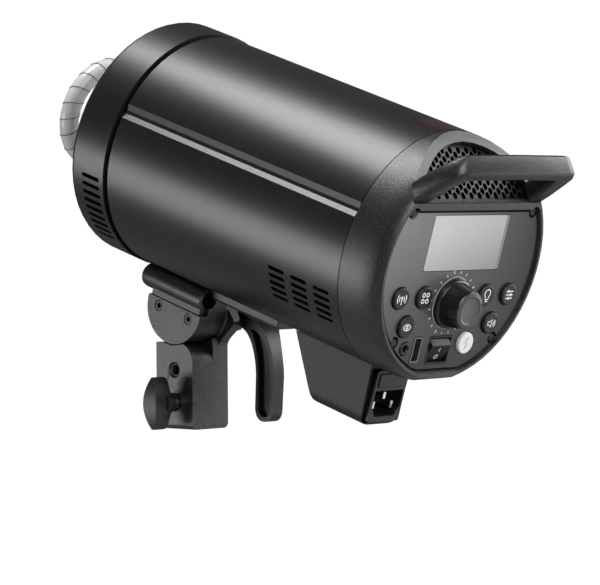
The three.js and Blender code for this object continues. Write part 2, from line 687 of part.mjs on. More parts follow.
function addPowerBox(head) {
  const r = 6.5;
  const profile = new THREE.Shape();
  profile.moveTo(PSU_TOP_HALF, -56);
  profile.lineTo(-PSU_TOP_HALF, -56);
  profile.lineTo(-PSU_BOTTOM_HALF, PSU_FLOOR + r);
  profile.quadraticCurveTo(-PSU_BOTTOM_HALF, PSU_FLOOR, r - PSU_BOTTOM_HALF, PSU_FLOOR);
  profile.lineTo(PSU_BOTTOM_HALF - r, PSU_FLOOR);
  profile.quadraticCurveTo(PSU_BOTTOM_HALF, PSU_FLOOR, PSU_BOTTOM_HALF, PSU_FLOOR + r);
  const slant = Math.atan2(PSU_FRONT_BOTTOM - PSU_FRONT_TOP, -60.6 - PSU_FLOOR);
  const nose = new THREE.BoxGeometry(60, 80, 120);
  nose.translate(0, -40, 0);
  nose.rotateX(slant);
  nose.translate(0, PSU_FRONT_TOP, -60.6);
  const cavity = block(1.6 - PSU_BOTTOM_HALF, PSU_BOTTOM_HALF - 1.6, 133, 170, PSU_FLOOR + 1.7, INLET_TOP + GAP);
  addPiece(head, 'psu_housing', cut(
    alongY(profile, PSU_FRONT_TOP - 2, PSU_REAR, 4),
    cylinderY(TUBE_R + GAP, 90, 200, ROUND_LARGE),
    solid(nose),
    cavity,
  ), DARK_CAST);

  const module = alongY(roundedRect(INLET_HALF, (INLET_TOP - INLET_FLOOR) / 2, 1.2, 0,
    (INLET_TOP + INLET_FLOOR) / 2), 149, INLET_REAR, 3);
  const mouth = polygon([
    [-10.6, COLD_INLET_TOP], [10.6, COLD_INLET_TOP], [10.6, -83], [7.2, COLD_INLET_FLOOR],
    [-7.2, COLD_INLET_FLOOR], [-10.6, -83],
  ]);
  mouth.autoClose = true;
  const drawerSlot = block(-10.2, 10.2, 151.5, 170, -72.2, -64.8);
  addPiece(head, 'mains_inlet', cut(module, alongY(mouth, INLET_BACK, 170), drawerSlot), BLACK_PLASTIC);
  addPiece(head, 'fuse_drawer', block(-9.9, 9.9, 152, INLET_REAR + 0.6, -71.9, -65.1), BLACK_PLASTIC);

  const pin = block(-1, 1, INLET_BACK + GAP, INLET_REAR - 2.6, -2, 2);
  [['earth_pin', 0, -77.6], ['live_pin', 7, -82.6], ['neutral_pin', -7, -82.6]].forEach(([name, x, z]) => {
    addPiece(head, name, pin, BRIGHT_METAL, [x, 0, z]);
  });
}

// ---------------------------------------------------------------- yoke and rail under the tube

const FLUSH_SCREWS = [12.6, 34.9];
const FLUSH_SCREW_Z = -81.2;

function addYoke(head) {
  const underTube = cylinderY(TUBE_R + GAP, -40, 200, ROUND_LARGE);
  const disc = cut(
    cylinderX(YOKE_R, YOKE_RIGHT_X, YOKE_LEFT_X, PIVOT_Y, PIVOT_Z, 48),
    block(-20, 20, -20, 60, YOKE_CHORD, -40),
  );
  const seat = block(YOKE_RIGHT_X, UMBRELLA_X, PIVOT_Y - YOKE_R, PIVOT_Y + YOKE_R, YOKE_CHORD - 0.1, -60);
  const web = block(0, YOKE_LEFT_X - 0.9, PIVOT_Y - YOKE_R + 1.2, 41, YOKE_CHORD - 0.1, UMBRELLA_Z);
  const umbrella = turned([
    [0, -4.4], [4.9, -4.4], [6.1, -3.2], [UMBRELLA_OUTER_R, -1], [UMBRELLA_OUTER_R, 41], [0, 41],
  ], ROUND_MEDIUM).translate([UMBRELLA_X, 0, UMBRELLA_Z]);
  const umbrellaBore = cylinderY(UMBRELLA_BORE_R, -20, 60, ROUND_SMALL).translate([UMBRELLA_X, 0, UMBRELLA_Z]);
  const screwHoles = FLUSH_SCREWS.map((y) => cylinderX(3.1, YOKE_LEFT_X - 3.2, 20, y, FLUSH_SCREW_Z, ROUND_SMALL));
  const boltHole = cylinderX(TILT_BOLT_R + GAP, -20, 8.5, PIVOT_Y, PIVOT_Z, 24);
  const underRing = cylinderY(RING_R + GAP, -40, 0.6, ROUND_LARGE);
  addPiece(head, 'yoke', cut(
    join(disc, seat, web, umbrella), umbrellaBore, ...screwHoles, boltHole, underTube, underRing,
  ), DARK_CAST);

  const screw = cut(
    cylinderX(2.8, YOKE_LEFT_X - 2.9, YOKE_LEFT_X - 0.3, 0, 0, ROUND_SMALL),
    cylinderX(1.5, YOKE_LEFT_X - 2, YOKE_LEFT_X + 2, 0, 0, 6),
  );
  FLUSH_SCREWS.forEach((y, i) => addPiece(head, `yoke_screw_${i + 1}`, screw, BRIGHT_METAL, [0, y, FLUSH_SCREW_Z]));

  const plate = cut(
    join(
      cut(cylinderX(YOKE_R + 0.9, -6.7, -6.1, PIVOT_Y, PIVOT_Z, 48), block(-20, 20, -20, 60, YOKE_CHORD, -40)),
      block(-6.7, -6.1, PIVOT_Y - YOKE_R, PIVOT_Y + YOKE_R, YOKE_CHORD - 0.1, -64.5),
    ),
    cylinderX(TILT_BOLT_R + GAP, -20, 20, PIVOT_Y, PIVOT_Z, 24),
  );
  addPiece(head, 'friction_plate', plate, BRIGHT_METAL);

  const rail = polygon([
    [RAIL_RIGHT, -60], [RAIL_RIGHT, RAIL_FLOOR + RAIL_EDGE], [RAIL_RIGHT + RAIL_EDGE, RAIL_FLOOR],
    [RAIL_LEFT - RAIL_EDGE, RAIL_FLOOR], [RAIL_LEFT, RAIL_FLOOR + RAIL_EDGE], [RAIL_LEFT, -60],
  ]);
  addPiece(head, 'mount_rail', cut(alongY(rail, PIVOT_Y + YOKE_R + GAP, RAIL_REAR), underTube), DARK_CAST);
}

// ---------------------------------------------------------------- inside the head

const FAN_Y = 128;

function addInside(head) {
  const can = turned([[0, 26], [16.6, 26], [17.5, 27], [17.5, 105], [16.6, 106], [0, 106]], ROUND_MEDIUM);
  addPiece(head, 'flash_capacitor_1', can, CAN_BLUE, [20, 0, -26]);
  addPiece(head, 'flash_capacitor_2', can, CAN_BLUE, [-20, 0, -26]);
  addPiece(head, 'trigger_coil', turned([[0, 30], [9, 30], [9, 56], [0, 56]], ROUND_SMALL), CERAMIC, [0, 0, 26]);
  addPiece(head, 'power_board', block(-46, 46, 20, 112, 2, 3.6), BOARD_GREEN);
  addPiece(head, 'control_board', block(-33, 33, 176, 177.6, -42, 18), BOARD_GREEN);

  const half = 38;
  const frameShape = roundedRect(half, half, 5);
  frameShape.holes.push(roundHole(0, 0, 35));
  const ring = alongY(frameShape, FAN_Y, FAN_Y + 20, 9);
  const struts = [0, 60, 120].map((degrees) => (
    solid(new THREE.BoxGeometry(73, 2, 4)).translate([0, FAN_Y + 18.5, 0]).rotate([0, degrees, 0])
  ));
  addPiece(head, 'fan_frame', join(ring, cylinderY(11, FAN_Y + 17, FAN_Y + 19.5, 24), ...struts), BLACK_PLASTIC);

  const blades = Array.from({ length: 7 }, (_, i) => {
    const blade = new THREE.BoxGeometry(23, 1.4, 13);
    blade.rotateX(0.6);
    blade.translate(21.6, FAN_Y + 9, 0);
    blade.rotateY((i * 2 * Math.PI) / 7);
    return solid(blade);
  });
  addPiece(head, 'fan_rotor', join(cylinderY(12, FAN_Y + 2, FAN_Y + 16, 24), ...blades), BLACK_PLASTIC);
}

// ---------------------------------------------------------------- stand bracket

function addBracket(bracket) {
  const corner = 11;
  const side = new THREE.Shape();
  side.moveTo(-BLOCK_HALF_Y, 0);
  side.lineTo(BLOCK_HALF_Y, 0);
  side.lineTo(BLOCK_HALF_Y, BLOCK_HEIGHT - corner);
  side.absarc(BLOCK_HALF_Y - corner, BLOCK_HEIGHT - corner, corner, 0, Math.PI / 2, false);
  side.lineTo(-BLOCK_HALF_Y, BLOCK_HEIGHT);
  const cheek = alongX(side, -3, BLOCK_HALF_X, 7);

  const topR = 15.4;
  const lean = THREE.MathUtils.degToRad(60);
  const arm = new THREE.Shape();
  arm.moveTo(-BLOCK_HALF_Y, 0);
  arm.lineTo(BLOCK_HALF_Y, 0);
  arm.lineTo(BLOCK_HALF_Y, 43);
  arm.quadraticCurveTo(BLOCK_HALF_Y + 0.3, 46, 17, 48.6);
  arm.lineTo(22.8, 53.6);
  arm.quadraticCurveTo(24.6, 55.4, 23.6, 57.4);
  arm.absarc(0, PIVOT_HEIGHT, topR, Math.PI / 2 - lean, Math.PI / 2 + lean, false);
  arm.lineTo(-23.6, 57.4);
  arm.quadraticCurveTo(-24.6, 55.4, -22.8, 53.6);
  arm.lineTo(-17, 48.6);
  arm.quadraticCurveTo(-BLOCK_HALF_Y - 0.3, 46, -BLOCK_HALF_Y, 43);
  const armSolid = alongX(arm, ARM_OUTER_X, ARM_INNER_X, 10);
  const webbing = cut(
    block(ARM_INNER_X - 0.1, -2.2, -BLOCK_HALF_Y, BLOCK_HALF_Y, 0, 56),
    cylinderX(YOKE_R + 1.6, -20, 20, 0, PIVOT_HEIGHT, 48),
  );
  const softEdges = alongY(roundedRect(BLOCK_HALF_X + 0.05, 50, 3, 0, 50), -30, 30, 4);
  addPiece(bracket, 'bracket', cut(
    join(cheek, armSolid, webbing).intersect(softEdges),
    cylinderX(YOKE_R + 0.7, ARM_INNER_X, 20, 0, PIVOT_HEIGHT, 48),
    cylinderZ(SPIGOT_SOCKET_R, -1, SPIGOT_SOCKET_DEPTH, 32),
    cylinderX(CLAMP_SCREW_R + GAP, 4, 20, 0, CLAMP_HEIGHT, 24),
    cylinderX(2.85, -20, 20, 0, CROSS_HOLE_HEIGHT, 20),
    countersinkX(4.3, 1.2, BLOCK_HALF_X + 0.01, 0, CROSS_HOLE_HEIGHT),
    countersinkX(5, 0.9, BLOCK_HALF_X + 0.01, 0, CLAMP_HEIGHT),
    cylinderX(TILT_BOLT_R + GAP, -20, 0, 0, PIVOT_HEIGHT, 24),
  ), DARK_CAST);

  addPiece(bracket, 'clamp_pad', cylinderX(3.7, 7.9, 9.6, 0, CLAMP_HEIGHT, ROUND_SMALL), BRIGHT_METAL);
  addPiece(bracket, 'clamp_screw', cylinderX(CLAMP_SCREW_R, 9.9, 27, 0, CLAMP_HEIGHT, 24), BRIGHT_METAL);
  addPiece(bracket, 'stand_knob', standKnob(), BLACK_PLASTIC);
}

// A flat paddle: lens-shaped across, crowned along its outer edge.
function standKnob() {
  const inner = 20.6;
  const outer = 32.2;
  const half = 13.7;
  const crown = 2.5;
  const thick = 4.7;
  const lens = new THREE.Shape();
  lens.moveTo(-0.9, -half);
  lens.quadraticCurveTo(-2 * thick + 0.9, 0, -0.9, half);
  lens.lineTo(0.9, half);
  lens.quadraticCurveTo(2 * thick - 0.9, 0, 0.9, -half);
  const acrossX = alongX(lens, inner, outer, 10);
  const face = new THREE.Shape();
  face.moveTo(inner + 2.2, -half);
  face.lineTo(outer - crown, -half);
  face.quadraticCurveTo(outer + crown, 0, outer - crown, half);
  face.lineTo(inner + 2.2, half);
  face.quadraticCurveTo(inner, half, inner, half - 2.2);
  face.lineTo(inner, 2.2 - half);
  face.quadraticCurveTo(inner, -half, inner + 2.2, -half);
  const outline = alongY(face, -10, 10, 8);
  const neck = cylinderX(6, inner - 2, inner + 3, 0, 0, 24);
  return cut(
    join(acrossX.intersect(outline), neck),
    cylinderX(CLAMP_SCREW_R + GAP, inner - 5, 27.3, 0, 0, 24),
  ).translate([0, 0, CLAMP_HEIGHT]);
}

// The lever hangs from the pivot's right end; heights are from the bracket's underside.
function addLever(lever) {
  const profile = new THREE.Shape();
  profile.moveTo(0, 14.2);
  profile.absarc(0, 0, 14.2, Math.PI / 2, (-60 / 180) * Math.PI, false);
  profile.quadraticCurveTo(17, -10.5, 22.8, -11.6);
  profile.bezierCurveTo(29, -14.5, 32.3, -25, 32.4, -36);
  profile.lineTo(31.6, -53.4);
  profile.quadraticCurveTo(32, -60.3, 38.2, -60.4);
  profile.quadraticCurveTo(43.8, -60.3, 44.1, -53.4);
  profile.lineTo(45.3, -37);
  profile.bezierCurveTo(45.4, -21.6, 40, -10.5, 30, -7.2);
  profile.bezierCurveTo(22, -4, 16, 4, 12, 7.6);
  profile.absarc(0, 0, 14.2, Math.asin(7.6 / 14.2), Math.PI / 2, false);
  const body = alongX(profile, LEVER_HUB_X, LEVER_INNER_X, 9);

  // The grip is thinner than the hub, with a long curve between the two.
  const waist = new THREE.Shape();
  waist.moveTo(LEVER_GRIP_X, -80);
  waist.lineTo(LEVER_GRIP_X, -27);
  waist.quadraticCurveTo(LEVER_GRIP_X - 0.6, -15, -29, -10);
  waist.lineTo(-50, -6);
  waist.lineTo(-50, -80);
  const outside = alongY(waist, 5, 60, 6);

  const channel = new THREE.Shape();
  channel.moveTo(34.2, -36);
  channel.lineTo(33.8, -53);
  channel.quadraticCurveTo(34.4, -58, 38.2, -58);
  channel.quadraticCurveTo(41.7, -58, 42, -53);
  channel.lineTo(42.9, -37);
  channel.bezierCurveTo(43, -24, 38.4, -13, 28, -11.6);
  channel.bezierCurveTo(32, -16, 34.2, -26, 34.2, -36);
  addPiece(lever, 'tilt_lever', cut(
    body,
    outside,
    alongX(channel, LEVER_INNER_X - 3, LEVER_INNER_X + 1, 7),
    cylinderX(TILT_BOLT_R + GAP, -60, 0, 0, 0, 24),
    cylinderX(7.3, LEVER_HUB_X - 1, LEVER_HUB_X + 4, 0, 0, 24),
  ), BLACK_PLASTIC);

  const shank = cylinderX(TILT_BOLT_R, LEVER_HUB_X + 0.5, 8, 0, 0, 24);
  const boltHead = cylinderX(7, LEVER_HUB_X - 0.6, LEVER_HUB_X + 3.7, 0, 0, 24);
  const hexSocket = cylinderX(3, LEVER_HUB_X - 2, LEVER_HUB_X + 2, 0, 0, 6);
  addPiece(lever, 'tilt_bolt', cut(join(shank, boltHead), hexSocket), BRIGHT_METAL);
}

// ---------------------------------------------------------------- assembly

const strobe = new THREE.Group();

const bracket = new THREE.Group();
bracket.position.z = -SPIGOT_SOCKET_DEPTH;
strobe.add(bracket);
addBracket(bracket);

const pivot = new THREE.Group();
pivot.position.z = PIVOT_HEIGHT;
bracket.add(pivot);
addLever(pivot);

const tilted = new THREE.Group();
tilted.rotation.x = -TILT;
pivot.add(tilted);

const head = new THREE.Group();
head.position.set(0, -PIVOT_Y, -PIVOT_Z);
tilted.add(head);

addFront(head);
addTube(head);
addPiece(head, 'rear_cap', rearCap(), BLACK_SHELL);
addPiece(head, 'rear_grille', rearGrille(), BLACK_PLASTIC);
addPiece(head, 'handle', handle(), BLACK_SHELL);
addPanel(head);
addPowerBox(head);
addYoke(head);
addInside(head);

export default strobe;
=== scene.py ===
"""A monolight strobe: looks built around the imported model, in metres and in its frame."""

import json
import math

import bmesh
import bpy
from mathutils import Matrix, Vector, geometry


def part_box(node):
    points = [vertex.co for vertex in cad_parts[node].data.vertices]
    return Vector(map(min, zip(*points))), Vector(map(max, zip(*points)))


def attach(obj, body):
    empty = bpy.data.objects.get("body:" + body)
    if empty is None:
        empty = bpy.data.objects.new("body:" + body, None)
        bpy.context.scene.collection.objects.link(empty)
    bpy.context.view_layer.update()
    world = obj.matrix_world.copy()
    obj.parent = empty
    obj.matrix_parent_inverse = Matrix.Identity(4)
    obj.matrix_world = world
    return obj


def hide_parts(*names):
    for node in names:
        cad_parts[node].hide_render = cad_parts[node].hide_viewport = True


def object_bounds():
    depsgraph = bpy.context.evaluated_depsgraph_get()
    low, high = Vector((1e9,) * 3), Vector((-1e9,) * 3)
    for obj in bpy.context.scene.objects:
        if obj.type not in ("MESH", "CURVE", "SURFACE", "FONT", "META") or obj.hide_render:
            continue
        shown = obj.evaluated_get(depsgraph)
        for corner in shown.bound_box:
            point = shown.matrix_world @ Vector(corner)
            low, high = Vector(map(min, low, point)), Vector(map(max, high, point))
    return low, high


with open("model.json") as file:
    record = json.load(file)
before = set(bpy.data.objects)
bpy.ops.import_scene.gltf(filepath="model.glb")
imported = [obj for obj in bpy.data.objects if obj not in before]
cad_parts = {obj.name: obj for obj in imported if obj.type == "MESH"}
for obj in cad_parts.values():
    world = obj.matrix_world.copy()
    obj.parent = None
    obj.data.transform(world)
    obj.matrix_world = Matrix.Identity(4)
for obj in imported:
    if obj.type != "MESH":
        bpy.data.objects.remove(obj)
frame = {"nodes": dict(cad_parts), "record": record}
cad_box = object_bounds()
MM = 0.001
WELD = 1e-6  # vertices closer than this are one

# ------------------------------------------------------------------ the head's own frame
# x to the head's left, y rearward along the tube, z upward across it; the origin is where
# the tube's axis meets its front end.

joints = {joint["name"]: joint for joint in frame["record"]["behaviour"]["joints"]}
REARWARD = Vector(joints["dial_turn"]["axis"])
UNTILT = Matrix.Rotation(math.atan2(-REARWARD.z, REARWARD.y), 4, "X")


def extent(node, matrix):
    """Lowest and highest corner of a CAD node, measured in another frame."""
    spots = [matrix @ vertex.co for vertex in frame["nodes"][node].data.vertices]
    low = Vector([min(spot[i] for spot in spots) for i in range(3)])
    high = Vector([max(spot[i] for spot in spots) for i in range(3)])
    return low, high


tube_low, tube_high = extent("body_tube", UNTILT)
TUBE_CENTRE = Vector((0, tube_low.y, (tube_low.z + tube_high.z) / 2))
TO_HEAD = Matrix.Translation(-TUBE_CENTRE) @ UNTILT
HEAD = TO_HEAD.inverted()


def head_box(node):
    """Lowest and highest corner of a CAD node in the head's own frame."""
    return extent(node, TO_HEAD)


def head_span(node):
    """Centre, half width, lowest and highest y of a CAD node in the head's own frame."""
    low, high = head_box(node)
    return (low + high) / 2, (high.x - low.x) / 2, low.y, high.y


# ------------------------------------------------------------------ materials


class Nodes:
    """A short way to write a node tree."""

    def __init__(self, name):
        self.material = bpy.data.materials.new(name)
        self.material.use_nodes = True
        self.tree = self.material.node_tree
        self.shader = self.tree.nodes["Principled BSDF"]
        self.place = self.add("ShaderNodeTexCoord").outputs["Object"]

    def add(self, kind, **sockets):
        node = self.tree.nodes.new(kind)
        for name, value in sockets.items():
            self.put(node.inputs[name.replace("_", " ")], value)
        return node

    def put(self, socket, value):
        """Links or sets a socket, by the kind of value."""
        if isinstance(value, bpy.types.NodeSocket):
            self.tree.links.new(value, socket)
        else:
            socket.default_value = value

    def noise(self, size, detail=2.0):
        """Noise with features about size metres across."""
        node = self.add("ShaderNodeTexNoise", Vector=self.place, Scale=1 / size, Detail=detail)
        return node.outputs["Fac"]

    def remap(self, value, low, high, to_low, to_high):
        """The value moved from one range to another, and held inside it."""
        node = self.add("ShaderNodeMapRange")
        for index, number in enumerate((value, low, high, to_low, to_high)):
            self.put(node.inputs[index], number)
        return node.outputs["Result"]

    def mix(self, factor, first, second):
        node = self.add("ShaderNodeMix")
        node.data_type = "RGBA"
        for socket, value in ((node.inputs[0], factor), (node.inputs[6], first), (node.inputs[7], second)):
            self.put(socket, value)
        return node.outputs[2]

    def bump(self, height, depth):
        return self.add("ShaderNodeBump", Strength=1.0, Distance=depth, Height=height).outputs["Normal"]

    def corner_ramps(self, node, across, upward):
        """The place's separate coordinates, and values that rise from 0 over a CAD node's width
        and height, to across and to upward."""
        low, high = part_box(node)
        split = self.add("ShaderNodeSeparateXYZ", Vector=self.place)
        first = self.remap(split.outputs["X"], low.x, high.x, 0.0, across)
        second = self.remap(split.outputs["Z"], low.z, high.z, 0.0, upward)
        return split, first, second

    def combine(self, operation, first, second):
        node = self.add("ShaderNodeMath")
        node.operation = operation
        self.put(node.inputs[0], first)
        self.put(node.inputs[1], second)
        return node.outputs[0]

    def finish(self, colour, roughness, normal=None, metallic=0.0, **fixed):
        """Sets the shader's inputs; those in fixed are constants named with underscores."""
        self.put(self.shader.inputs["Base Color"], colour)
        self.put(self.shader.inputs["Roughness"], roughness)
        self.put(self.shader.inputs["Metallic"], metallic)
        if normal is not None:
            self.put(self.shader.inputs["Normal"], normal)
        for name, value in fixed.items():
            self.shader.inputs[name.replace("_", " ")].default_value = value
        return self.material


def grey(level):
    return (level, level, level, 1.0)


SHADE_PATCH = 40 * MM  # size of a coat's slow shade changes
SHADE_SWING = 0.12  # share of the shade by which they go either way
ROUGH_SWING = 0.05


def coated(name, level, roughness, grain, depth, speckle=0.0, metallic=0.0, **fixed):
    """Paint or moulded plastic: slow shade changes, a fine grain, and light specks if wanted."""
    nodes = Nodes(name)
    fine = nodes.noise(grain)
    drift = nodes.remap(nodes.noise(SHADE_PATCH), 0.35, 0.65, 0.0, 1.0)
    colour = nodes.mix(drift, grey(level * (1 - SHADE_SWING)), grey(level * (1 + SHADE_SWING)))
    if speckle:
        specks = nodes.remap(nodes.noise(grain * 0.9, 1.0), 0.50, 0.64, 0.0, 1.0)
        colour = nodes.mix(specks, colour, grey(speckle))
    rough = nodes.remap(fine, 0.3, 0.7, roughness - ROUGH_SWING, roughness + ROUGH_SWING)
    return nodes.finish(colour, rough, nodes.bump(fine, depth), metallic, **fixed)


MARK_SCALE = 400.0  # turning marks per metre along x
MARK_STRETCH = 12.0  # how much finer they are along y and z


def brushed(name, level, roughness):
    """Machined or plated metal with fine turning marks."""
    nodes = Nodes(name)
    stretch = nodes.add("ShaderNodeMapping", Vector=nodes.place, Scale=(1.0, MARK_STRETCH, MARK_STRETCH))
    noise = nodes.add("ShaderNodeTexNoise", Vector=stretch.outputs[0], Scale=MARK_SCALE, Detail=3.0)
    marks = noise.outputs["Fac"]
    colour = nodes.mix(marks, grey(level * 0.8), grey(level * 1.1))
    rough = nodes.remap(marks, 0.3, 0.7, roughness - 0.06, roughness + 0.08)
    return nodes.finish(colour, rough, nodes.bump(marks, 0.01 * MM), 1.0)


def clear_glass():
    """Quartz glass, a little milky."""
    nodes = Nodes("clear_glass")
    ripple = nodes.noise(6 * MM)
    colour = nodes.mix(ripple, (0.82, 0.84, 0.87, 1), (0.95, 0.95, 0.97, 1))
    rough = nodes.remap(ripple, 0.3, 0.7, 0.1, 0.2)
    return nodes.finish(colour, rough, nodes.bump(ripple, 0.03 * MM), Transmission_Weight=0.25, IOR=1.46)


SCREEN_BORDER = 2.3 * MM  # darker margin on the display's right, as seen from behind
# the display's shades under its painted reflection: darker at the lower right, paler at the upper left
SCREEN_DARK, SCREEN_PALE = (0.17, 0.172, 0.18, 1), (0.62, 0.625, 0.64, 1)
SCREEN_MARGIN = (0.12, 0.122, 0.13, 1)


def screen_glass():
    """A grey display behind clear glass, with a painted reflection that makes it paler towards its upper
    left corner as seen from behind.
    """
    nodes = Nodes("screen_glass")
    split, across, upward = nodes.corner_ramps("display_window", 0.45, 0.55)
    # painted reflection: the display's grey grows paler towards its upper left corner
    painted_reflection = nodes.mix(nodes.combine("ADD", across, upward), SCREEN_DARK, SCREEN_PALE)
    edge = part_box("display_window")[0].x + SCREEN_BORDER
    border = nodes.remap(split.outputs["X"], edge - 0.1 * MM, edge + 0.1 * MM, 0.0, 1.0)
    shown = nodes.mix(border, SCREEN_MARGIN, painted_reflection)
    fine = nodes.noise(0.3 * MM)
    colour = nodes.mix(nodes.remap(fine, 0.4, 0.6, 0.0, 0.06), shown, grey(0.5))
    rough = nodes.remap(fine, 0.3, 0.7, 0.16, 0.22)
    return nodes.finish(colour, rough, Coat_Weight=0.6, Coat_Roughness=0.06)


def panel_gloss():
    """Near-black lacquer with a painted reflection, paler towards its upper left corner as seen from
    behind.
    """
    nodes = Nodes("panel_gloss")
    across, upward = nodes.corner_ramps("control_panel", 1.0, 1.0)[1:]
    fine = nodes.noise(0.3 * MM)
    # painted reflection on the lacquer: paler towards its upper left corner
    painted_reflection = nodes.mix(nodes.combine("MULTIPLY", across, upward), grey(0.003), grey(0.24))
    colour = nodes.mix(nodes.remap(fine, 0.4, 0.6, 0.0, 0.015), painted_reflection, grey(0.3))
    rough = nodes.remap(fine, 0.3, 0.7, 0.27, 0.33)
    return nodes.finish(colour, rough, nodes.bump(fine, 0.004 * MM), Specular_IOR_Level=0.36)


def red_window():
    """Dark red plastic over the sensor."""
    nodes = Nodes("red_window")
    slow = nodes.noise(9 * MM)
    colour = nodes.mix(slow, (0.02, 0.007, 0.007, 1), (0.045, 0.01, 0.009, 1))
    rough = nodes.remap(slow, 0.3, 0.7, 0.14, 0.22)
    return nodes.finish(colour, rough, nodes.bump(nodes.noise(0.5 * MM), 0.005 * MM), Coat_Weight=0.4)


def circuit_board():
    """Green board with a pattern of small cells."""
    nodes = Nodes("circuit_board")
    cells = nodes.add("ShaderNodeTexVoronoi", Vector=nodes.place, Scale=350.0).outputs["Distance"]
    copper = nodes.remap(cells, 0.2, 0.6, 0.0, 1.0)
    colour = nodes.mix(copper, (0.02, 0.09, 0.04, 1), (0.04, 0.2, 0.09, 1))
    return nodes.finish(colour, nodes.remap(cells, 0.0, 1.0, 0.35, 0.55), nodes.bump(cells, 0.05 * MM))


GRAINED = (0.55 * MM, 0.13 * MM)  # size and depth of a coarse grain, as coated takes them
MATERIALS = {
    "shell_paint": coated("shell_paint", 0.009, 0.33, 0.5 * MM, 0.004 * MM, Specular_IOR_Level=0.6),
    "cap_plastic": coated("cap_plastic", 0.005, 0.36, *GRAINED, speckle=0.04, Specular_IOR_Level=0.75),
    "cast_paint": coated("cast_paint", 0.006, 0.37, *GRAINED, speckle=0.05, Specular_IOR_Level=0.65),
    "black_plastic": coated("black_plastic", 0.009, 0.42, 0.4 * MM, 0.02 * MM),
    "dark_metal": coated("dark_metal", 0.03, 0.4, 0.4 * MM, 0.01 * MM, metallic=0.6),
    "dish_metal": brushed("dish_metal", 0.75, 0.34),
    "white_ceramic": coated("white_ceramic", 0.6, 0.6, 0.8 * MM, 0.02 * MM),
    "clear_glass": clear_glass(),
    "red_window": red_window(),
    "panel_gloss": panel_gloss(),
    "screen_glass": screen_glass(),
    "circuit_board": circuit_board(),
    "key_rubber": coated("key_rubber", 0.008, 0.45, 0.25 * MM, 0.01 * MM),
    "white_key": coated("white_key", 0.85, 0.32, 0.5 * MM, 0.004 * MM),
    "black_steel": coated("black_steel", 0.03, 0.35, 0.3 * MM, 0.01 * MM, metallic=0.9),
    "bright_steel": brushed("bright_steel", 0.6, 0.26),
    "knob_rubber": coated("knob_rubber", 0.009, 0.26, 0.4 * MM, 0.006 * MM),
    "rail_metal": coated("rail_metal", 0.05, 0.42, 0.4 * MM, 0.02 * MM, metallic=0.3),
    "can_sleeve": coated("can_sleeve", 0.06, 0.35, 0.5 * MM, 0.01 * MM),
}
MARKING = coated("marking_white", 0.9, 0.5, 0.3 * MM, 0.005 * MM)
MARKING_GREY = coated("marking_grey", 0.35, 0.5, 0.3 * MM, 0.005 * MM)
KNOB_FACE = coated("knob_face", 0.07, 0.38, 0.3 * MM, 0.006 * MM)
TRIGGER_WIRE = brushed("trigger_wire", 0.12, 0.4)
PORT_SHELL = brushed("port_shell", 0.22, 0.38)
LATTICE = coated("lattice", 0.016, 0.45, 0.6 * MM, 0.08 * MM, speckle=0.05)
BOX_PAINT = coated("box_paint", 0.004, 0.42, 0.5 * MM, 0.1 * MM, speckle=0.03, Specular_IOR_Level=0.3)
ROCKER_BLACK = coated("rocker_black", 0.005, 0.42, 0.3 * MM, 0.006 * MM, Specular_IOR_Level=0.3)

# ------------------------------------------------------------------ shapes


def smooth(mesh, angle):
    """Smooth shading, but for edges that bend by more than angle degrees."""
    mesh.polygons.foreach_set("use_smooth", [True] * len(mesh.polygons))
    mesh.set_sharp_from_angle(angle=math.radians(angle))


def piece(name, bm, body, slot, material=None, replaces=(), place=HEAD, angle=35):
    """Makes an object of bm, which is drawn in the frame that place leads from."""
    bmesh.ops.recalc_face_normals(bm, faces=bm.faces)
    bm.transform(place)
    mesh = bpy.data.meshes.new(name)
    bm.to_mesh(mesh)
    bm.free()
    smooth(mesh, angle)
    mesh.materials.append(material or MATERIALS[slot])
    made = bpy.data.objects.new(name, mesh)
    bpy.context.scene.collection.objects.link(made)
    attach(made, body)
    if replaces:
        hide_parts(*replaces)
    return made


def lathe(profile, centre, segments):
    """Turns (radius, y) points about a line along y through centre, an (x, z) pair."""
    bm = bmesh.new()
    rings = []
    for radius, y in profile:
        count = segments if radius else 1
        turns = [2 * math.pi * i / segments for i in range(count)]
        spots = [(centre[0] + radius * math.cos(a), y, centre[1] + radius * math.sin(a)) for a in turns]
        rings.append([bm.verts.new(spot) for spot in spots])
    for first, second in zip(rings, rings[1:]):
        for i in range(segments):
            j = (i + 1) % segments
            ring = [part[k % len(part)] for part, k in ((first, i), (first, j), (second, j), (second, i))]
            corners = list(dict.fromkeys(ring))
            if len(corners) > 2:
                bm.faces.new(corners)
    return bm


def extrude(outline, y0, y1, bm=None):
    """A prism of an (x, z) outline from y0 to y1."""
    bm = bm or bmesh.new()
    near = [bm.verts.new((x, y0, z)) for x, z in outline]
    far = [bm.verts.new((x, y1, z)) for x, z in outline]
    bm.faces.new(near)
    bm.faces.new(list(reversed(far)))
    for i in range(len(outline)):
        j = (i + 1) % len(outline)
        bm.faces.new((near[i], far[i], far[j], near[j]))
    return bm


def ways(points, closed):
    """The unit direction of a line of points at each of them."""
    count = len(points)
    found = []
    for i, point in enumerate(points):
        before = points[i - 1] if closed or i else point
        after = points[(i + 1) % count] if closed or i < count - 1 else point
        found.append((after - before).normalized())
    return found


def ribbon(points, width, y0, y1, bm, closed=False):
    """A drawn line of some width along (x, z) points, raised from y0 to y1."""
    spots = [Vector(point) for point in points]
    count = len(spots)
    sides = [Vector((-way.y, way.x)) * width / 2 for way in ways(spots, closed)]
    left = [spot + side for spot, side in zip(spots, sides)]
    right = [spot - side for spot, side in zip(spots, sides)]
    for i in range(count if closed else count - 1):
        j = (i + 1) % count
        extrude([left[i], left[j], right[j], right[i]], y0, y1, bm)


def arc(centre, radius, start, end, steps):
    """Points of a circular arc, angles in degrees."""
    turns = [math.radians(start + (end - start) * i / steps) for i in range(steps + 1)]
    return [(centre[0] + radius * math.cos(a), centre[1] + radius * math.sin(a)) for a in turns]


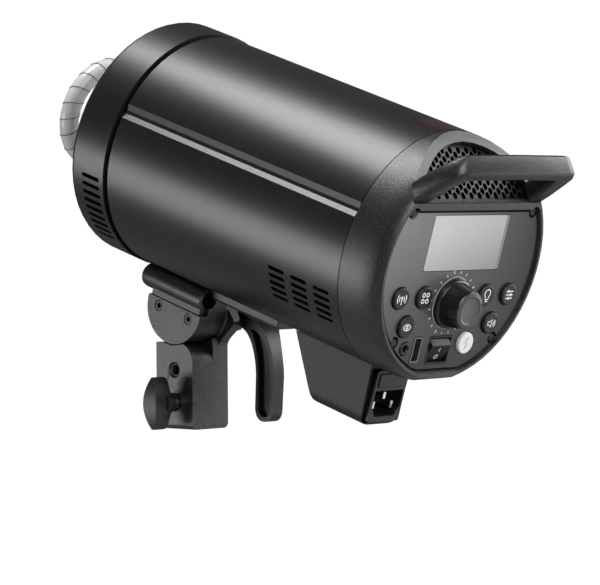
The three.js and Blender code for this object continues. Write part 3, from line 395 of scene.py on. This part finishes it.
def skin(bm, rings):
    """Joins rings of vertices into a bar with flat ends."""
    for first, second in zip(rings, rings[1:]):
        for i in range(len(first)):
            j = (i + 1) % len(first)
            bm.faces.new((first[i], first[j], second[j], second[i]))
    bm.faces.new(list(reversed(rings[0])))
    bm.faces.new(rings[-1])


def tube(points, radius, sides):
    """A round bar along 3-D points."""
    bm = bmesh.new()
    turns = [2 * math.pi * i / sides for i in range(sides)]
    rings = []
    up = Vector((0, 1, 0))
    for point, way in zip(points, ways(points, False)):
        across = way.cross(up)
        if across.length < 1e-4:
            across = way.cross(Vector((0, 0, 1)))
        across.normalize()
        up = across.cross(way).normalized()
        spots = [point + (across * math.cos(a) + up * math.sin(a)) * radius for a in turns]
        rings.append([bm.verts.new(spot) for spot in spots])
    skin(bm, rings)
    return bm


def carve(bm, cutter):
    """The solid bm with cutter taken away."""
    made = []
    for name, part in (("solid", bm), ("cutter", cutter)):
        bmesh.ops.recalc_face_normals(part, faces=part.faces)
        mesh = bpy.data.meshes.new(name)
        part.to_mesh(mesh)
        part.free()
        made.append(bpy.data.objects.new(name, mesh))
        bpy.context.scene.collection.objects.link(made[-1])
    modifier = made[0].modifiers.new("cut", "BOOLEAN")
    modifier.object = made[1]
    modifier.solver = "EXACT"
    modifier.use_self = True
    shown = made[0].evaluated_get(bpy.context.evaluated_depsgraph_get())
    result = bmesh.new()
    result.from_mesh(shown.to_mesh())
    shown.to_mesh_clear()
    for item in made:
        bpy.data.objects.remove(item)
    bmesh.ops.remove_doubles(result, verts=result.verts, dist=WELD)
    return result


# ------------------------------------------------------------------ CAD nodes that stay


def softening(name, bend):
    """Welds a CAD mesh and shades its bends smooth up to an angle in degrees."""
    group = bpy.data.node_groups.new(name, "GeometryNodeTree")
    for side in ("INPUT", "OUTPUT"):
        group.interface.new_socket("Geometry", in_out=side, socket_type="NodeSocketGeometry")
    add = group.nodes.new
    start, end = add("NodeGroupInput"), add("NodeGroupOutput")
    weld = add("GeometryNodeMergeByDistance")
    all_smooth, edges = add("GeometryNodeSetShadeSmooth"), add("GeometryNodeSetShadeSmooth")
    angle, compare = add("GeometryNodeInputMeshEdgeAngle"), add("FunctionNodeCompare")
    weld.inputs["Distance"].default_value = WELD
    edges.domain = "EDGE"
    edges.inputs["Shade Smooth"].default_value = False
    compare.operation = "GREATER_THAN"
    compare.inputs["B"].default_value = math.radians(bend)
    link = group.links.new
    link(start.outputs[0], weld.inputs["Geometry"])
    link(weld.outputs[0], all_smooth.inputs["Geometry"])
    link(all_smooth.outputs[0], edges.inputs["Geometry"])
    link(angle.outputs["Unsigned Angle"], compare.inputs["A"])
    link(compare.outputs["Result"], edges.inputs["Selection"])
    link(edges.outputs[0], end.inputs[0])
    return group


SOFTENING = softening("soften", 27)
SOFT_BENDS = {"handle": softening("soften_more", 48)}
BEVEL_FROM = 32  # edges that bend by more than this many degrees are bevelled
BEVEL_FROM_SOFT = 50  # the same for the nodes in SOFT_BENDS
EDGE_WIDTH = {
    1.5 * MM: ("bracket",),
    1.2 * MM: ("stand_knob", "handle"),
    0.7 * MM: ("yoke", "tilt_lever"),
    0.5 * MM: ("psu_housing",),
    0.4 * MM: ("lamp_socket",),
    0.35 * MM: ("rear_cap",),
    0.3 * MM: ("mount_rail", "mains_inlet", "rocker_frame", "power_rocker", "release_latch",
               "bayonet_ring", "tilt_bolt", "earth_pin", "live_pin", "neutral_pin"),
    0.25 * MM: ("fuse_drawer",),
    0.2 * MM: ("sensor_window",),
    0.15 * MM: ("display_window", "sync_jack"),
    0.12 * MM: ("usb_port", "friction_plate"),
}
OWN_FINISH = {"usb_port": PORT_SHELL, "power_rocker": ROCKER_BLACK, "psu_housing": BOX_PAINT}


def round_edges(made, width, angle):
    """Bevels the edges that bend by more than angle degrees."""
    modifier = made.modifiers.new("edges", "BEVEL")
    modifier.width = width
    modifier.segments = 3
    modifier.limit_method = "ANGLE"
    modifier.angle_limit = math.radians(angle)
    modifier.harden_normals = True
    modifier.use_clamp_overlap = True


def dress_cad():
    """Gives every CAD node its material, smooth bends and, where listed, rounded edges."""
    widths = {node: width for width, nodes in EDGE_WIDTH.items() for node in nodes}
    for entry in frame["record"]["subparts"]:
        name = entry["node"]
        node = frame["nodes"][name]
        node.data.materials.clear()
        node.data.materials.append(OWN_FINISH.get(name, MATERIALS[entry["material_slot"]]))
        node.modifiers.new("soften", "NODES").node_group = SOFT_BENDS.get(name, SOFTENING)
        if name in widths:
            round_edges(node, widths[name], BEVEL_FROM_SOFT if name in SOFT_BENDS else BEVEL_FROM)


OFF_ROUND = 0.12  # a facet that faces further round than this isn't part of the turned form


def turned_axes(spot):
    """Directions away from the tube's axis and round it, at a place in the head's frame."""
    outward = Vector((spot.x, 0, spot.z)).normalized()
    return outward, Vector((-outward.z, 0, outward.x))


def round_shell(node, name, slot):
    """The turned CAD shell again, shaded as the true round form that its flat facets stand for."""
    bm = bmesh.new()
    bm.from_mesh(frame["nodes"][node].data)
    bm.transform(TO_HEAD)
    bmesh.ops.remove_doubles(bm, verts=bm.verts, dist=WELD)
    mesh = piece(name, bm, "head", slot, replaces=(node,), angle=180).data
    turn = UNTILT.to_3x3()
    normals = []
    for polygon in mesh.polygons:
        facing = turn @ polygon.normal
        outward, around = turned_axes(TO_HEAD @ polygon.center)
        turned = abs(facing.dot(around)) < OFF_ROUND
        for index in polygon.vertices:
            normal = facing
            if turned:
                normal = turned_axes(TO_HEAD @ mesh.vertices[index].co)[0] * facing.dot(outward)
                normal.y = facing.y
            normals.append(turn.inverted() @ normal)
    mesh.normals_split_custom_set(normals)


# ------------------------------------------------------------------ control panel


KEYS = ("radio_key", "group_key", "lamp_key", "function_key", "slave_key", "beeper_key", "test_key")
OPENING_GAP = 0.35 * MM  # clearance round whatever comes through the panel
SHAFT_GAP = 0.8 * MM
SCREW_HOLE_R = 3.2 * MM


def rounded(x0, x1, z0, z1, radius):
    """Outline of a rectangle with round corners."""
    points = []
    for cx, cz, start in ((x1, z1, 0), (x0, z1, 90), (x0, z0, 180), (x1, z0, 270)):
        inward = Vector((radius if cx == x0 else -radius, radius if cz == z0 else -radius))
        points += arc((cx + inward.x, cz + inward.y), radius, start, start + 90, 5)
    return points


def panel_openings():
    """Outlines of the holes in the panel."""
    gap = OPENING_GAP
    for node in KEYS:
        centre, half = head_span(node)[:2]
        yield arc((centre.x, centre.z), half + gap, 0, 354, 59)
    for node in ("display_window", "rocker_frame", "usb_port"):
        low, high = head_box(node)
        yield rounded(low.x - gap, high.x + gap, low.z - gap, high.z + gap, MM)
    for node, margin in (("sync_jack", gap), ("dial_shaft", SHAFT_GAP)):
        centre, half = head_span(node)[:2]
        yield arc((centre.x, centre.z), half + margin, 0, 352, 44)
    for i in range(1, 5):
        centre = head_span(f"panel_screw_{i}")[0]
        yield arc((centre.x, centre.z), SCREW_HOLE_R, 0, 352, 44)


def panel_plate():
    """The rear plate, a disc cut off straight above and below, with its openings."""
    low, high = head_box("control_panel")
    radius = (high.x - low.x) / 2
    start = math.degrees(math.asin(high.z / radius))
    chin = math.degrees(math.asin(-low.z / radius))
    outline = arc((0, 0), radius, start, -chin, 60) + arc((0, 0), radius, chin - 180, -180 - start, 60)
    cutter = bmesh.new()
    for opening in panel_openings():
        extrude(opening, low.y - MM, high.y + MM, cutter)
    plate = carve(extrude(outline, low.y, high.y), cutter)
    piece("panel_plate", plate, "head", "panel_gloss", replaces=("control_panel",))


KEY_DISH = 0.17 * MM  # depth of a key's dished top where its symbol lies


def key_cap(node, slot):
    """A round key with a soft rim and a slightly dished top; returns the middle of its top."""
    centre, radius, foot, top = head_span(node)
    profile = [
        (0, foot), (radius, foot), (radius, top - 0.9 * MM), (radius - 0.12 * MM, top - 0.45 * MM),
        (radius - 0.4 * MM, top - 0.12 * MM), (radius - 0.85 * MM, top),
        (radius - 1.4 * MM, top - 0.05 * MM), (radius * 0.4, top - 0.16 * MM), (0, top - 0.18 * MM),
    ]
    piece(f"{node}_cap", lathe(profile, (centre.x, centre.z), 56), node, slot, replaces=(node,), angle=50)
    return centre, top - KEY_DISH


def icon_strokes(node):
    """Drawn lines of a key's symbol, as (points, closed), in millimetres about the key's middle."""
    if node == "radio_key":
        waves = [(arc((0, 0), r, a, a + 80, 8), False) for r in (1.5, 2.7) for a in (-40, 140)]
        return waves + [([(0, 0.4), (0, -2.4)], False), (arc((0, 0.5), 0.45, 0, 330, 8), True)]
    if node == "group_key":
        return [(arc((x, z), 0.85, 0, 330, 10), True) for x in (-1.3, 1.3) for z in (-1.3, 1.3)]
    if node == "lamp_key":
        bulb = arc((0, 0.9), 1.75, -55, 235, 16)
        return [(bulb + [(-0.9, -1.7), (0.9, -1.7)], True), ([(-0.75, -2.5), (0.75, -2.5)], False)]
    if node == "function_key":
        bars = [([(-2.2, z), (2.2, z)], False) for z in (-1.5, 0, 1.5)]
        marks = ((-0.9, 1.5), (1.0, 0.0), (-0.3, -1.5))
        return bars + [(arc(mark, 0.45, 0, 330, 8), True) for mark in marks]
    if node == "slave_key":
        lids = [(arc((0, -1.3), 2.6, 30, 150, 10), False), (arc((0, 1.3), 2.6, 210, 330, 10), False)]
        return lids + [(arc((0, 0), 0.6, 0, 330, 10), True)]
    if node == "beeper_key":
        horn = [(-2.2, -0.7), (-1.2, -0.7), (0.1, -1.8), (0.1, 1.8), (-1.2, 0.7), (-2.2, 0.7)]
        return [(horn, True)] + [(arc((0.1, 0), r, -42, 42, 7), False) for r in (1.3, 2.3)]
    return [([(0.7, 2.6), (-1.0, 0.1), (0.6, 0.1), (-0.7, -2.6)], False)]


MARK_SINK = 0.1 * MM  # how far a drawn mark starts below its surface
ICON_RAISE = 0.06 * MM
ICON_LIFT = 0.02 * MM  # keeps a symbol clear of the key's dished top
ICON_LINE = 0.46  # millimetres, before the scale
ICON_SCALE = 1.2


def draw_icon(name, strokes, centre, floor, body, material):
    """A symbol of icon_strokes, raised from a key's top."""
    bm = bmesh.new()
    for points, closed in strokes:
        placed = [(centre.x - x * ICON_SCALE * MM, centre.z + z * ICON_SCALE * MM) for x, z in points]
        ribbon(placed, ICON_LINE * ICON_SCALE * MM, floor - MARK_SINK, floor + ICON_RAISE, bm, closed)
    piece(name, bm, body, "white_key", material, angle=60)


def keys_and_marks():
    """The seven keys with their symbols."""
    for node in KEYS:
        is_test = node == "test_key"
        centre, top = key_cap(node, "white_key" if is_test else "key_rubber")
        colour = MARKING_GREY if is_test else MARKING
        draw_icon(f"{node}_symbol", icon_strokes(node), centre, top + ICON_LIFT, node, colour)


# ------------------------------------------------------------------ dial

DIAL_TICKS = 17
DIAL_TICK_R = 15.2 * MM
DIAL_TICK_LENGTH = 1.9 * MM  # of every fourth tick; the others are shorter
DIAL_TICK_WIDTH = 0.45 * MM
DIAL_FIRST, DIAL_LAST = -62, 228  # degrees from straight up, turning to the left
# gap and width of the thin pale ring round the knob's skirt, a painted highlight of its edge
HIGHLIGHT_RING_GAP = 0.45 * MM
HIGHLIGHT_RING_WIDTH = 0.2 * MM
PRINT_RAISE = 0.03 * MM


def dial_marks():
    """Ticks printed round the dial, and a thin pale ring round the knob's skirt that is a painted
    highlight of its edge.
    """
    centre = head_span("dial_shaft")[0]
    middle = Vector((centre.x, centre.z))
    face = head_span("control_panel")[3]
    bm = bmesh.new()
    for i in range(DIAL_TICKS):
        a = math.radians(90 - DIAL_FIRST - (DIAL_LAST - DIAL_FIRST) * i / (DIAL_TICKS - 1))
        way = Vector((math.cos(a), math.sin(a)))
        length = DIAL_TICK_LENGTH * (1.0 if i % 4 == 0 else 0.6)
        line = [middle + way * DIAL_TICK_R, middle + way * (DIAL_TICK_R + length)]
        ribbon(line, DIAL_TICK_WIDTH, face - MARK_SINK, face + PRINT_RAISE, bm)
    # the ring is a painted highlight of the knob skirt's edge, not print
    ring = arc(middle, head_span("dial_knob")[1] + HIGHLIGHT_RING_GAP, 0, 356, 89)
    ribbon(ring, HIGHLIGHT_RING_WIDTH, face - MARK_SINK, face + PRINT_RAISE, bm, closed=True)
    piece("dial_ticks_and_highlight_ring", bm, "head", "white_key", MARKING, angle=60)


KNOB_BORE = 3.3 * MM
KNOB_SIDES = 96
GRIP_FLUTES = 12
FLUTE_R = 0.75 * MM
FLUTE_LEAN = 1.75 * MM  # how much nearer the axis a flute is at its outer end
DIAL_POINTER = 14  # degrees up from the left
POINTER_R = 0.28 * MM


def knob_grip(centre, outer, skirt, end, grip, rim):
    """The turned knob without its face, with leaning round flutes cut into the grip."""
    body = lathe([
        (KNOB_BORE, skirt), (outer, skirt), (outer, skirt + 0.5 * MM),
        (outer - 0.25 * MM, skirt + 0.9 * MM), (outer - 0.9 * MM, skirt + 1.1 * MM),
        (grip, skirt + 1.5 * MM), (grip - 0.35 * MM, skirt + 4 * MM),
        (outer - 3.05 * MM, end - 1.7 * MM), (outer - 3.3 * MM, end - 1.05 * MM),
        (rim, end - 0.7 * MM), (KNOB_BORE, end - 1.2 * MM),
    ], centre, KNOB_SIDES)
    cutter = bmesh.new()
    for i in range(GRIP_FLUTES):
        a = 2 * math.pi * i / GRIP_FLUTES
        way = Vector((math.cos(a), math.sin(a)))
        near = centre + way * (grip + 0.35 * MM)
        ends = ((near, skirt + 2.2 * MM), (near - way * FLUTE_LEAN, end - 1.6 * MM))
        skin(cutter, [
            [cutter.verts.new((x, y, z)) for x, z in arc(spot, FLUTE_R, 0, 330, 11)] for spot, y in ends
        ])
    return carve(body, cutter)


def dial_knob():
    """Skirted knob with a fluted grip, a pale sloping rim and a dished face."""
    middle, outer, skirt, end = head_span("dial_knob")
    centre = Vector((middle.x, middle.z))
    grip, rim, face = outer - 1.3 * MM, outer - 3.7 * MM, outer - 5.9 * MM
    knob = knob_grip(centre, outer, skirt, end, grip, rim)
    piece("dial_knob_grip", knob, "dial", "knob_rubber", replaces=("dial_knob",), angle=28)
    cap = lathe([
        (0, end - 2.6 * MM), (rim + 0.05 * MM, end - 2.6 * MM), (rim + 0.05 * MM, end - 0.85 * MM),
        (rim - 0.15 * MM, end - 0.55 * MM), (face + 0.35 * MM, end), (face, end - 0.08 * MM),
        (face - 0.5 * MM, end - 0.5 * MM), (face * 0.55, end - 0.95 * MM), (0, end - 1.05 * MM),
    ], centre, KNOB_SIDES)
    piece("dial_knob_face", cap, "dial", "knob_rubber", KNOB_FACE, angle=28)
    a = math.radians(DIAL_POINTER)
    way = Vector((math.cos(a), 0, math.sin(a)))
    line = [
        Vector((centre.x, end - drop, centre.y)) + way * (rim + out)
        for drop, out in ((1.9 * MM, 0.4 * MM), (5.2 * MM, 1.0 * MM))
    ]
    piece("dial_pointer", tube(line, POINTER_R, 8), "dial", "white_key", MARKING)


# ------------------------------------------------------------------ mains switch

ROCKER_LINE_DROP = 2.6  # millimetres down the rocker's sloping face from its ridge
ROCKER_RING_DROP = 7.0
ROCKER_MARK_WIDTH = 0.5 * MM


def rocker_marks():
    """The generic line and ring of a mains switch, on the rocker's long sloping face."""
    spots = [TO_HEAD @ vertex.co for vertex in frame["nodes"]["power_rocker"].data.vertices]
    ridge = max(spots, key=lambda spot: spot.y)
    foot = min(spots, key=lambda spot: (round(spot.z, 4), -spot.y))
    middle = head_span("power_rocker")[0].x
    slope = math.atan2(ridge.y - foot.y, ridge.z - foot.z)
    place = HEAD @ Matrix.Translation((middle, ridge.y, ridge.z)) @ Matrix.Rotation(-slope, 4, "X")
    for name, points, closed, drop in (
        ("rocker_line", [(0, -1.1), (0, 1.1)], False, ROCKER_LINE_DROP),
        ("rocker_ring", arc((0, 0), 1.15, 0, 330, 12), True, ROCKER_RING_DROP),
    ):
        bm = bmesh.new()
        placed = [(-x * MM, (z - drop) * MM) for x, z in points]
        ribbon(placed, ROCKER_MARK_WIDTH, -0.3 * MM, 0.05 * MM, bm, closed)
        piece(name, bm, "power_rocker", "white_key", MARKING, place=place, angle=60)


# ------------------------------------------------------------------ grille over the arch

CELL_ROWS = 16
CELL_COLUMNS = range(-9, 10)
CELL_PITCH = 6.3 * MM  # between the cells of a row; every other row is moved by half of it
ROW_PITCH = 2.37 * MM
FIRST_ROW = 2.9 * MM
CELL_HALF = 1.75 * MM
CELL_SHAPE = ((1, 0), (0.5, 1), (-0.5, 1), (-1, 0), (-0.5, -1), (0.5, -1))
GRILLE_SHEET = 0.5 * MM
GRILLE_LAP = 2.4 * MM  # how far the sheet reaches under the edge of its opening


def is_inside(outline, middle, spot):
    """Whether a point is inside a convex outline, given any other point inside it."""
    for a, b in zip(outline, outline[1:] + outline[:1]):
        side = Vector((-(b - a).y, (b - a).x))
        if side.length > WELD and side.dot(middle - a) * side.dot(spot - a) <= 0:
            return False
    return True


def rear_grille():
    """A honeycomb plate in the place of the CAD's plain one."""
    mesh = frame["nodes"]["rear_grille"].data
    normal = max(mesh.polygons, key=lambda polygon: polygon.area).normal.copy()
    if normal.dot(REARWARD) < 0:
        normal.negate()
    sideways = Vector((1, 0, 0))
    upward = sideways.cross(-normal).normalized()
    if upward.z < 0:
        upward.negate()
    basis = Matrix((sideways, -normal, upward)).transposed().to_4x4()
    spots = [vertex.co for vertex in mesh.vertices]
    front = -max(spot.dot(normal) for spot in spots)
    back = front + GRILLE_SHEET
    flat = [Vector((spot.dot(sideways), spot.dot(upward))) for spot in spots]
    hull = [flat[i] for i in geometry.convex_hull_2d(flat)]
    middle = sum(hull, Vector((0, 0))) / len(hull)
    foot = min(spot.y for spot in hull)
    sheet = []
    for spot in hull:
        lap = (spot - middle).normalized() * GRILLE_LAP if spot.y > foot + MM else Vector((0, 0))
        sheet.append(tuple(spot + lap))
    cutter = bmesh.new()
    for row in range(CELL_ROWS):
        for column in CELL_COLUMNS:
            x = (column + (row % 2) / 2) * CELL_PITCH
            z = foot + FIRST_ROW + row * ROW_PITCH
            if is_inside(hull, middle, Vector((x, z))):
                hexagon = [(x + across * CELL_HALF, z + rise * CELL_HALF) for across, rise in CELL_SHAPE]
                extrude(hexagon, front - MM, back + MM, cutter)
    plate = carve(extrude(sheet, front, back), cutter)
    piece("honeycomb", plate, "head", "cap_plastic", LATTICE, replaces=("rear_grille",), place=basis)


# ------------------------------------------------------------------ flash tube

GLASS_R = 5.1 * MM
RING_STEPS = 80
LEG_HALF_GAP = 7.5 * MM
LEG_STEPS = 6
# how far the bend from ring to leg is outside the leg, behind the ring and above the ring's
# end, in millimetres
LEG_BEND = ((3.4, 0.2, 0.1), (1.6, 1.2, -0.3), (0.4, 3.2, -0.4), (0, 6, -0.4))
WIRE_TURNS = 17
WIRE_TURN_STEPS = 40
WIRE_R = 0.2 * MM
WIRE_COIL_R = GLASS_R + 0.15 * MM


def coil_path(ring_r, y, z, opening, steps, coil_r, turns):
    """Points round an open ring about (y, z), wound about its line at coil_r."""
    sweep = 2 * math.pi - 2 * opening
    points = []
    for i in range(steps + 1):
        a = -math.pi / 2 + opening + sweep * i / steps
        b = 2 * math.pi * turns * i / steps
        reach = ring_r + coil_r * math.cos(b)
        points.append(Vector((reach * math.cos(a), y + coil_r * math.sin(b), z + reach * math.sin(a))))
    return points


def leg_path(side, y_ring, z_leg, y_end):
    """Points down one leg, from the end of the ring into the head."""
    bend = [
        Vector((side * (LEG_HALF_GAP + out * MM), y_ring + back * MM, z_leg + rise * MM))
        for out, back, rise in LEG_BEND
    ]
    reach = y_end - bend[-1].y
    return bend + [bend[-1] + Vector((0, reach * k / LEG_STEPS, 0)) for k in range(1, LEG_STEPS + 1)]


def flash_tube():
    """The glass ring on its two legs, the trigger wire wound round it, and the legs' metal caps."""
    low, high = head_box("flash_tube")
    ring_r = (high.x - low.x) / 2 - GLASS_R
    y_ring = low.y + GLASS_R + 0.6 * MM
    z_ring = high.z - GLASS_R - ring_r
    opening = math.asin((LEG_HALF_GAP + 5 * MM) / ring_r)
    z_leg = z_ring - ring_r * math.cos(opening) - 0.8 * MM
    left, right = (leg_path(side, y_ring, z_leg, high.y) for side in (1, -1))
    ring = coil_path(ring_r, y_ring, z_ring, opening, RING_STEPS, 0, 0)
    glass = tube(left[::-1] + ring + right, GLASS_R, 28)
    piece("flash_ring", glass, "head", "clear_glass", replaces=("flash_tube",), angle=60)
    steps = WIRE_TURN_STEPS * WIRE_TURNS
    wire = coil_path(ring_r, y_ring, z_ring, opening, steps, WIRE_COIL_R, WIRE_TURNS)
    piece("trigger_winding", tube(wire, WIRE_R, 6), "head", "bright_steel", TRIGGER_WIRE)
    inner, outer = GLASS_R + 0.1 * MM, GLASS_R + 0.9 * MM
    foot, top = high.y, high.y - 7 * MM
    profile = [(inner, top), (outer, top + 0.3 * MM), (outer, foot), (inner, foot), (inner, top)]
    for side, name in ((1, "left"), (-1, "right")):
        cap = lathe(profile, (side * LEG_HALF_GAP, z_leg - 0.4 * MM), 40)
        piece(f"flash_cap_{name}", cap, "head", "bright_steel")


# ------------------------------------------------------------------ stage, light and camera

CAMERA_PLACE = Vector((1.27975, 1.2369, 0.08518))
CAMERA_FORWARD = Vector((-0.740683, -0.671263, -0.028198))
CAMERA_UP = Vector((-0.025313, -0.014059, 0.999581))
CAMERA_LENS = 202.75
FLOOR_DROP = 0.42
FLOOR_SIZE = 14.0
# strengths: what lights the object, and what the camera sees
FLOOR_GLOW = (0.0, 1.05)
WORLD_GLOW = (0.085, 1.05)
# name, direction from the object, distance, size and power
LIGHTS = (
    ("top_box", (0.12, -0.2, 0.91), 1.2, (0.62, 0.6), 12),
    ("front_left_box", (0.73, -0.65, -0.18), 1.5, (0.9, 0.5), 7.5),
    ("low_rear_box", (-0.74, 0.53, -0.41), 1.0, (0.55, 0.55), 1.15),
    ("high_rear_box", (-0.74, 0.53, 0.42), 1.1, (0.6, 0.6), 5),
    ("right_box", (-0.95, 0.25, 0.1), 1.4, (0.7, 0.6), 6),
    ("rear_box", (0.3, 0.88, 0.3), 1.6, (1.1, 1.1), 20),
)


def camera():
    """The fitted main view."""
    data = bpy.data.cameras.new("camera")
    data.lens = CAMERA_LENS
    data.sensor_width = 36.0
    made = bpy.data.objects.new("camera", data)
    bpy.context.scene.collection.objects.link(made)
    right = CAMERA_FORWARD.cross(CAMERA_UP).normalized()
    up = right.cross(CAMERA_FORWARD).normalized()
    turn = Matrix((right, up, -CAMERA_FORWARD)).transposed().to_4x4()
    made.matrix_world = Matrix.Translation(CAMERA_PLACE) @ turn
    bpy.context.scene.camera = made


def area_light(name, place, target, size, power):
    """A rectangular light at place that faces target."""
    data = bpy.data.lights.new(name, "AREA")
    data.shape = "RECTANGLE"
    data.size, data.size_y = size
    data.energy = power
    made = bpy.data.objects.new(name, data)
    bpy.context.scene.collection.objects.link(made)
    turn = (target - place).to_track_quat("-Z", "Y").to_matrix().to_4x4()
    made.matrix_world = Matrix.Translation(place) @ turn


def seen_by_camera(tree, unseen, seen):
    """A strength that differs between what the camera sees and what lights the object."""
    path = tree.nodes.new("ShaderNodeLightPath")
    strength = tree.nodes.new("ShaderNodeMapRange")
    strength.inputs["To Min"].default_value = unseen
    strength.inputs["To Max"].default_value = seen
    tree.links.new(path.outputs["Is Camera Ray"], strength.inputs["Value"])
    return strength.outputs["Result"]


def lay_floor():
    """A pale floor well below the object, which hangs on a stand that isn't built."""
    bm = bmesh.new()
    half = FLOOR_SIZE / 2
    corners = ((-half, -half), (half, -half), (half, half), (-half, half))
    bm.faces.new([bm.verts.new((x, y, cad_box[0].z - FLOOR_DROP)) for x, y in corners])
    mesh = bpy.data.meshes.new("floor")
    bm.to_mesh(mesh)
    bm.free()
    nodes = Nodes("floor")
    colour = nodes.mix(nodes.noise(0.6), grey(0.3), grey(0.34))
    mesh.materials.append(nodes.finish(colour, 0.9))
    nodes.put(nodes.shader.inputs["Emission Color"], grey(0.97))
    nodes.put(nodes.shader.inputs["Emission Strength"], seen_by_camera(nodes.tree, *FLOOR_GLOW))
    floor = bpy.data.objects.new("floor", mesh)
    bpy.context.scene.collection.objects.link(floor)


def surround():
    """The world: white to the camera, and a weak fill light to the object."""
    world = bpy.data.worlds.new("world")
    world.use_nodes = True
    bpy.context.scene.world = world
    tree = world.node_tree
    background = tree.nodes["Background"]
    tree.links.new(seen_by_camera(tree, *WORLD_GLOW), background.inputs["Strength"])
    background.inputs["Color"].default_value = (0.985, 0.985, 0.99, 1)
    bpy.context.scene.view_settings.view_transform = "Standard"


def place_lights():
    """Soft boxes that all face the object's middle."""
    middle = (cad_box[0] + cad_box[1]) / 2
    for name, way, distance, size, power in LIGHTS:
        area_light(name, middle + Vector(way).normalized() * distance, middle, size, power)


# ------------------------------------------------------------------ build

camera()
dress_cad()
round_shell("body_tube", "main_tube", "shell_paint")
round_shell("front_shroud", "front_ring", "shell_paint")
panel_plate()
keys_and_marks()
dial_marks()
dial_knob()
rocker_marks()
rear_grille()
flash_tube()
lay_floor()
surround()
place_lights()
